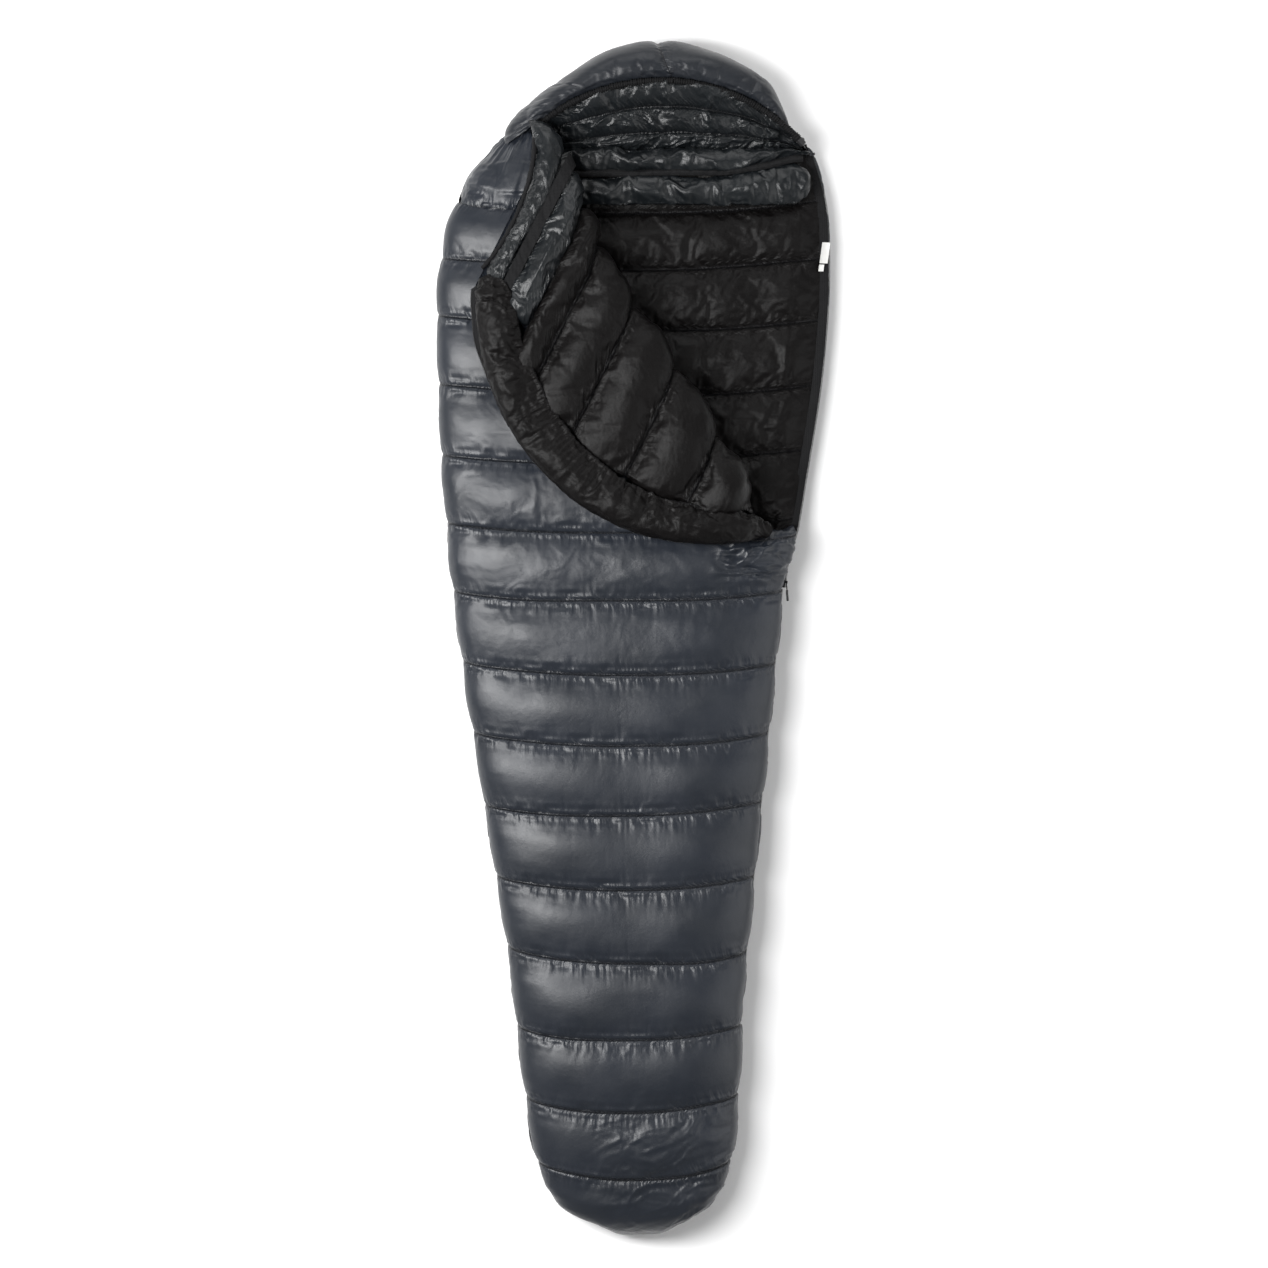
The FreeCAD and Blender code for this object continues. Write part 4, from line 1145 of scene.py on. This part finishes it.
def outline_points(count):
    """Evenly spaced points on the hood's outline."""
    data = np.array(HOOD_OUTLINE, float)
    index = np.arange(len(data))
    fine = np.linspace(0, len(data) - 1, 400)
    table_x = np.column_stack([index, data[:, 0]])
    table_y = np.column_stack([index, data[:, 1]])
    line = np.stack([along_table(table_x, fine), along_table(table_y, fine)], axis=1)
    return even_line(line, count)


HOOD_SIDE_SEAM = 0.6  # how far from the rim to the floor the hood's side seam runs


def make_hood():
    """The hood's shell: from the rim of the face opening over its crown and down to the floor."""
    columns = 150
    rim = arc_points(columns)
    outline = outline_points(columns)
    share = np.linspace(0, 1, columns)
    seams = np.array([0.0, 0.22, 0.5, 0.78, 1.0])
    number = np.clip(np.searchsorted(seams, share, side="right") - 1, 0, 3)
    part = (share - seams[number]) / (seams[number + 1] - seams[number])
    length = np.linalg.norm(np.diff(outline, axis=0), axis=1).sum()
    away_seam = np.minimum(part, 1 - part) * (seams[number + 1] - seams[number]) * length
    lines = []
    for k in range(columns):
        out = outline[k] - rim[k, :2]
        reach = np.linalg.norm(out)
        angle = np.linspace(0, math.pi / 2, 40)
        top = rim[k, 2] + min(10, reach * 0.15)
        rise_z = mix(rim[k, 2], top, ease(np.linspace(0, 1, 8), 0, 1))
        rise = np.stack([np.linspace(0, 0.22, 8) * reach, rise_z], axis=1)
        curve_d = reach * (0.22 + 0.78 * np.sin(angle) ** 0.9)
        curve_z = INSIDE_Z + (top - INSIDE_Z) * np.cos(angle) ** 0.75
        under = np.array([(reach, 30), (reach - 5, 12), (reach - 22, 2.0), (reach - 50, 0.8)])
        section = np.concatenate([rise, np.stack([curve_d, curve_z], axis=1)[1:], under])
        section = even_line(section, 46)
        unit = out / reach
        xy = rim[k, :2] + unit * section[:, :1]
        lines.append(np.column_stack([xy, section[:, 1]]))
    points = np.stack(lines, axis=1)
    n = normals_up(points, 4)
    down = np.linspace(0, 1, points.shape[0])[:, None]
    rim_lobe = np.clip(down / 0.22, 0, 1)
    dip = 10 * (1 - lobe(part))[None, :] * ease(down, 0.02, 0.2) * (1 - ease(down, 0.8, 1.0))
    centre = np.exp(-(((share - 0.5) * length) / 26) ** 2)[None, :]
    points = points - n * (dip * (0.35 + 0.65 * centre))[:, :, None]
    points = points - n * (7 * (1 - lobe(rim_lobe * 0.5)))[:, :, None]
    side_seam = np.exp(-((np.abs(down - HOOD_SIDE_SEAM) / 0.07) ** 1.3)) * np.ones((1, columns))
    points = points - n * (9 * side_seam)[:, :, None]
    x, y = points[:, :, 0], points[:, :, 1]
    points = points + n * (2.5 * noise(x / 60, y / 45, 121) * (1 - ease(down, 0.75, 0.95)))[:, :, None]
    pinned = (points[:, :, 2] < 24) | (down < 0.03)
    pinned[:, [0, 1, -2, -1]] = True
    pinned[:, columns // 2] |= down[:, 0] < 0.5
    from_rim = np.broadcast_to(down * HOOD_DEPTH, pinned.shape)
    settled = settle(points, pinned, from_rim, 12, slack=0.06, middle=0.35)
    points = mix(points, settled, (1 - ease(down, 0.6, 0.8))[:, :, None])
    points = refine(points)
    down = np.linspace(0, 1, points.shape[0])[:, None]
    along = lane_lengths(points)
    rim_away = np.broadcast_to(down * HOOD_DEPTH, along.shape)
    seam_away = refine(np.broadcast_to(away_seam, (2, columns)).astype(float), smooth=False)[:1]
    n = normals_up(points, 8)
    lift = puckers(along, rim_away, 122, 1.6)
    lift = lift + puckers(rim_away, np.broadcast_to(seam_away, along.shape), 123, 0.8)
    left_pull = 1 - ease(along / along[:, -1:], 0.0, 0.35)
    lift = lift + left_pull * crumple(along * 1.2, down * 90, 124, 30, 2.2)
    lift = lift * (1 - ease(down, 0.78, 0.95))
    points = points + n * lift[:, :, None]
    points[:, :, 2] = np.maximum(points[:, :, 2], 0.8)
    near_centre = np.abs(np.linspace(-1, 1, along.shape[1]))[None, :] * length / 2
    near_side = np.abs(down - HOOD_SIDE_SEAM) * HOOD_DEPTH
    seam = np.minimum(np.where(down < 0.55, near_centre, 99.0), near_side) + 0 * along
    obj = grid_object("hood_shell_quilt", points, HOOD_SHELL_SHADED, attributes={"seam": seam, "along": rim_away})
    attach(obj, "hood")
    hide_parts("hood_crown_left", "hood_crown_right", "hood_back")


def make_hood_lining():
    """The crumpled inside of the hood, from under the rim down to the neck."""
    columns, rows = 130, 52
    rim = arc_points(columns, 0.01, 0.99)
    outline = outline_points(columns)
    share = np.linspace(0, 1, columns)
    out = outline - rim[:, :2]
    out /= np.linalg.norm(out, axis=1, keepdims=True)
    start = np.column_stack([rim[:, :2] + out * 6, rim[:, 2] - 8])
    neck = np.column_stack([mix(-172, 300, share), np.full(columns, NECK_Y), np.full(columns, 56.0)])
    down = np.linspace(0, 1, rows)[:, None]
    points = start[None] * (1 - down[:, :, None]) + neck[None] * down[:, :, None]
    points[:, :, 2] = mix(start[None, :, 2], 56, down**0.75)
    bands = np.array([0.0, 0.4, 0.74, 1.0])
    number = np.clip(np.searchsorted(bands, down[:, 0], side="right") - 1, 0, 2)
    part = (down[:, 0] - bands[number]) / (bands[number + 1] - bands[number])
    puff = np.array([20.0, 15.0, 12.0])[number] * lobe(part)
    middle = np.clip(np.sin(math.pi * share), 0, 1) ** 0.5
    points[:, :, 2] += puff[:, None] * middle[None, :]
    x, y = points[:, :, 0], points[:, :, 1]
    away = np.minimum(part, 1 - part)[:, None] * 40 * np.ones((1, columns))
    points[:, :, 2] += crumple(x, y * 1.3, 131, 52, 7.0) * np.clip(away / 10, 0.3, 1) * ease(down, 0, 0.1)
    points = settle(points, edges_pinned(points, away), away, 12, slack=0.09, middle=0.9)
    points = refine(points)
    away = refine(away, smooth=False)
    along = lane_lengths(points)
    points[:, :, 2] += puckers(along, away, 132, 2.0)
    points[:, :, 2] = np.maximum(points[:, :, 2], INSIDE_Z)
    obj = grid_object("hood_lining_quilt", points, COLLAR_SHADED_FABRIC, attributes={"seam": away, "along": along})
    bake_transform(obj)


def make_hood_binding():
    """The gathered elastic binding round the face opening."""
    count = 620
    spine = arc_points(count)
    share = np.linspace(0, 1, count)
    at_ends = np.exp(-share / 0.05) + np.exp(-(1 - share) / 0.07)
    gather = 5.2 + 1.1 * noise(share * 150, share * 0, 141) + 0.9 * np.sin(share * 2 * math.pi * 120)
    gather = gather + 1.3 * at_ends * noise(share * 90, share * 0, 142)
    points, _ = tube_grid(spine, gather, gather * 1.15, UP, 20)
    obj = grid_object("hood_binding_tape", points, ELASTIC, closed=True)
    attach(obj, "hood")
    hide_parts("hood_binding")


# ---- zip, label and small parts ------------------------------------------------------------------


def strip_object(name, line, width_vector, rows, seed):
    """A flat tape along a line, with a slight ripple."""
    width_vector = np.asarray(width_vector, float)
    points = np.stack([line + width_vector * share for share in np.linspace(-0.5, 0.5, rows)])
    along = lane_lengths(points)
    points[:, :, 2] += 0.35 * noise(along / 14, along * 0, seed)
    return grid_object(name, points, TAPE)


TOOTH_PITCH = 2.2


def teeth_object(name, line, side, size):
    """A row of zip coils along a line: each tooth is a small bent bead across the chain.

    side is the direction across the chain. size is the bead's width along it and the bead's height.
    """
    step = np.linalg.norm(np.diff(line, axis=0), axis=1)
    length = np.concatenate([[0], np.cumsum(step)])
    at = np.arange(TOOTH_PITCH / 2, length[-1], TOOTH_PITCH)
    centre = np.stack([np.interp(at, length, line[:, k]) for k in range(3)], axis=1)
    tangent = np.stack([np.interp(at, length, np.gradient(line[:, k], length)) for k in range(3)], axis=1)
    tangent /= np.linalg.norm(tangent, axis=1, keepdims=True)
    side, up = np.asarray(side, float), np.asarray(UP, float)
    ring = [(0.5, 0.0), (0.35, 0.5), (-0.35, 0.5), (-0.5, 0.0), (-0.35, -0.5), (0.35, -0.5)]
    stations = [(-0.5, 0.55), (-0.38, 0.95), (0.0, 0.8), (0.38, 1.0), (0.5, 0.6)]
    vertices, faces = [], []
    for c, t in zip(centre, tangent):
        base = len(vertices)
        for offset, scale in stations:
            for a, b in ring:
                across = side * size[0] * offset
                along = t * TOOTH_PITCH * 0.72 * a * scale
                vertices.append(c + across + along + up * size[1] * b * scale)
        for i in range(len(stations) - 1):
            for j in range(6):
                k = (j + 1) % 6
                faces.append((base + i * 6 + j, base + i * 6 + k, base + i * 6 + 6 + k, base + i * 6 + 6 + j))
        faces.append(tuple(base + j for j in reversed(range(6))))
        faces.append(tuple(base + (len(stations) - 1) * 6 + j for j in range(6)))
    return mesh_object(name, np.array(vertices) * MM, faces, TEETH)


def make_zip():
    """The closed chain up to the slider, and the open half of it along the back quilt."""
    y = np.linspace(ZIP_FOOT_Y, SLIDER_Y - 12, 300)
    x = zip_x(y)
    for name, sign in (("back", -1), ("front", 1)):
        line = np.column_stack([x, y, np.full(len(y), MATE_Z + sign * 2.1)])
        teeth = teeth_object(f"zip_teeth_{name}", line, (1, 0, 0), (3.6, 2.4))
        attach(teeth, "bag")
        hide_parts(f"zip_coil_{name}")
        line = np.column_stack([x - 1.0, y, np.full(len(y), MATE_Z + sign * 8.5)])
        tape = strip_object(f"zip_tape_{name}_strip", line, (-2.0, 0, 12.0 * sign), 5, 151)
        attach(tape, "bag")
        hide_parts(f"zip_tape_{name}")
    y = np.linspace(SLIDER_Y - 10, 846, 400)
    x = zip_x(y)
    z = edge_height(y)
    line = np.column_stack([x + 5.4, y, z + 1.8])
    teeth = teeth_object("zip_teeth_back_open", line, (1, 0, 0), (3.2, 2.4))
    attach(teeth, "bag")
    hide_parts("zip_coil_back_open")
    line = np.column_stack([x - 3.5, y, z + 1.9])
    tape = strip_object("zip_tape_back_strip", line, (16.0, 0, 0), 6, 152)
    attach(tape, "bag")
    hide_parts("zip_tape_back_open")


def make_label():
    """The blank care label and the small tag below it, sewn on beside the open zip."""
    for name, low, high, width, curl in (
        ("care_label_main", 655, 692, 14.5, 5.0),
        ("care_label_tag", 641, 653, 9.0, 2.0),
    ):
        y = np.linspace(low, high, 26)
        across = np.linspace(0, 1, 12)[:, None]
        x = zip_x(y)[None, :] - 13 + 0.14 * (y[None, :] - 650) + across * width
        ripple = 0.8 * noise(y / 9, y * 0, 171)[None, :]
        z = edge_height(y)[None, :] + 5.5 + curl * (1 - across) ** 2 + ripple
        points = np.stack([x, np.broadcast_to(y, x.shape), z], axis=2)
        obj = grid_object(name, points, LABEL)
        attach(obj, "bag")
        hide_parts("care_label")


def dress_frame_nodes():
    """Materials for the CAD nodes that are shown as they are."""
    for node, material in (
        ("slider_body", METAL), ("slider_pull", PLASTIC), ("zip_bottom_stop", METAL), ("zip_top_stop", METAL),
        ("cord_lock", PLASTIC), ("cord_lock_button", PLASTIC), ("hood_drawcord", CORD),
    ):
        for slot in nodes[node].material_slots:
            slot.material = material


# ---- floor, light and camera ---------------------------------------------------------------------


def make_stage():
    n = Nodes("floor")
    n.shader.inputs["Base Color"].default_value = (0.95, 0.95, 0.95, 1)
    n.shader.inputs["Roughness"].default_value = 0.9
    n.shader.inputs["Specular IOR Level"].default_value = 0.1
    corners = [(-12, -12, 0), (12, -12, 0), (12, 12, 0), (-12, 12, 0)]
    floor = mesh_object("floor", corners, [(0, 1, 2, 3)], n.material)


def area_light(name, place, target, size, power):
    data = bpy.data.lights.new(name, "AREA")
    data.shape = "RECTANGLE"
    data.size, data.size_y = size
    data.energy = power
    light = bpy.data.objects.new(name, data)
    light.location = place
    light.rotation_euler = (Vector(target) - Vector(place)).to_track_quat("-Z", "Y").to_euler()
    bpy.context.scene.collection.objects.link(light)


def make_light():
    area_light("left_softbox", (-1.9, 0.3, 3.0), (0, 0, 0), (1.0, 3.0), 215)
    area_light("right_fill", (3.3, -0.5, 2.3), (0, 0, 0), (3.2, 4.0), 70)
    area_light("head_fill", (0.3, 3.6, 2.2), (0, 0.3, 0), (3.4, 2.0), 60)
    world = bpy.data.worlds.new("studio")
    world.use_nodes = True
    tree = world.node_tree
    background = tree.nodes["Background"]
    background.inputs["Color"].default_value = (1, 1, 1, 1)
    direction = tree.nodes.new("ShaderNodeTexCoord")
    split = tree.nodes.new("ShaderNodeSeparateXYZ")
    dome = tree.nodes.new("ShaderNodeMapRange")
    for key, value in (("From Min", 0.1), ("From Max", 0.85), ("To Min", 0.55), ("To Max", 0.07)):
        dome.inputs[key].default_value = value
    tree.links.new(direction.outputs["Generated"], split.inputs["Vector"])
    tree.links.new(split.outputs["Z"], dome.inputs["Value"])
    tree.links.new(dome.outputs["Result"], background.inputs["Strength"])
    bpy.context.scene.world = world


def make_camera():
    """Straight above the bag, far enough away for next to no perspective."""
    height = 8.0
    bag_height = 0.08
    view_width = 2.2317
    data = bpy.data.cameras.new("camera")
    data.sensor_width = 36
    data.lens = data.sensor_width * (height - bag_height) / view_width
    data.clip_end = 60
    camera = bpy.data.objects.new("camera", data)
    camera.location = (0.0, 0.0, height)
    bpy.context.scene.collection.objects.link(camera)
    bpy.context.scene.camera = camera
    bpy.context.scene.view_settings.view_transform = "Standard"


def main():
    make_camera()
    make_stage()
    make_light()
    make_front()
    make_back_shell()
    make_back_lining()
    make_front_lining()
    make_flap_lining()
    make_draft_tube()
    make_flap_collar()
    make_flap_shell()
    make_flap_edge()
    make_shoulder()
    make_collar()
    make_hood()
    make_hood_lining()
    make_hood_binding()
    make_zip()
    make_label()
    dress_frame_nodes()


main()
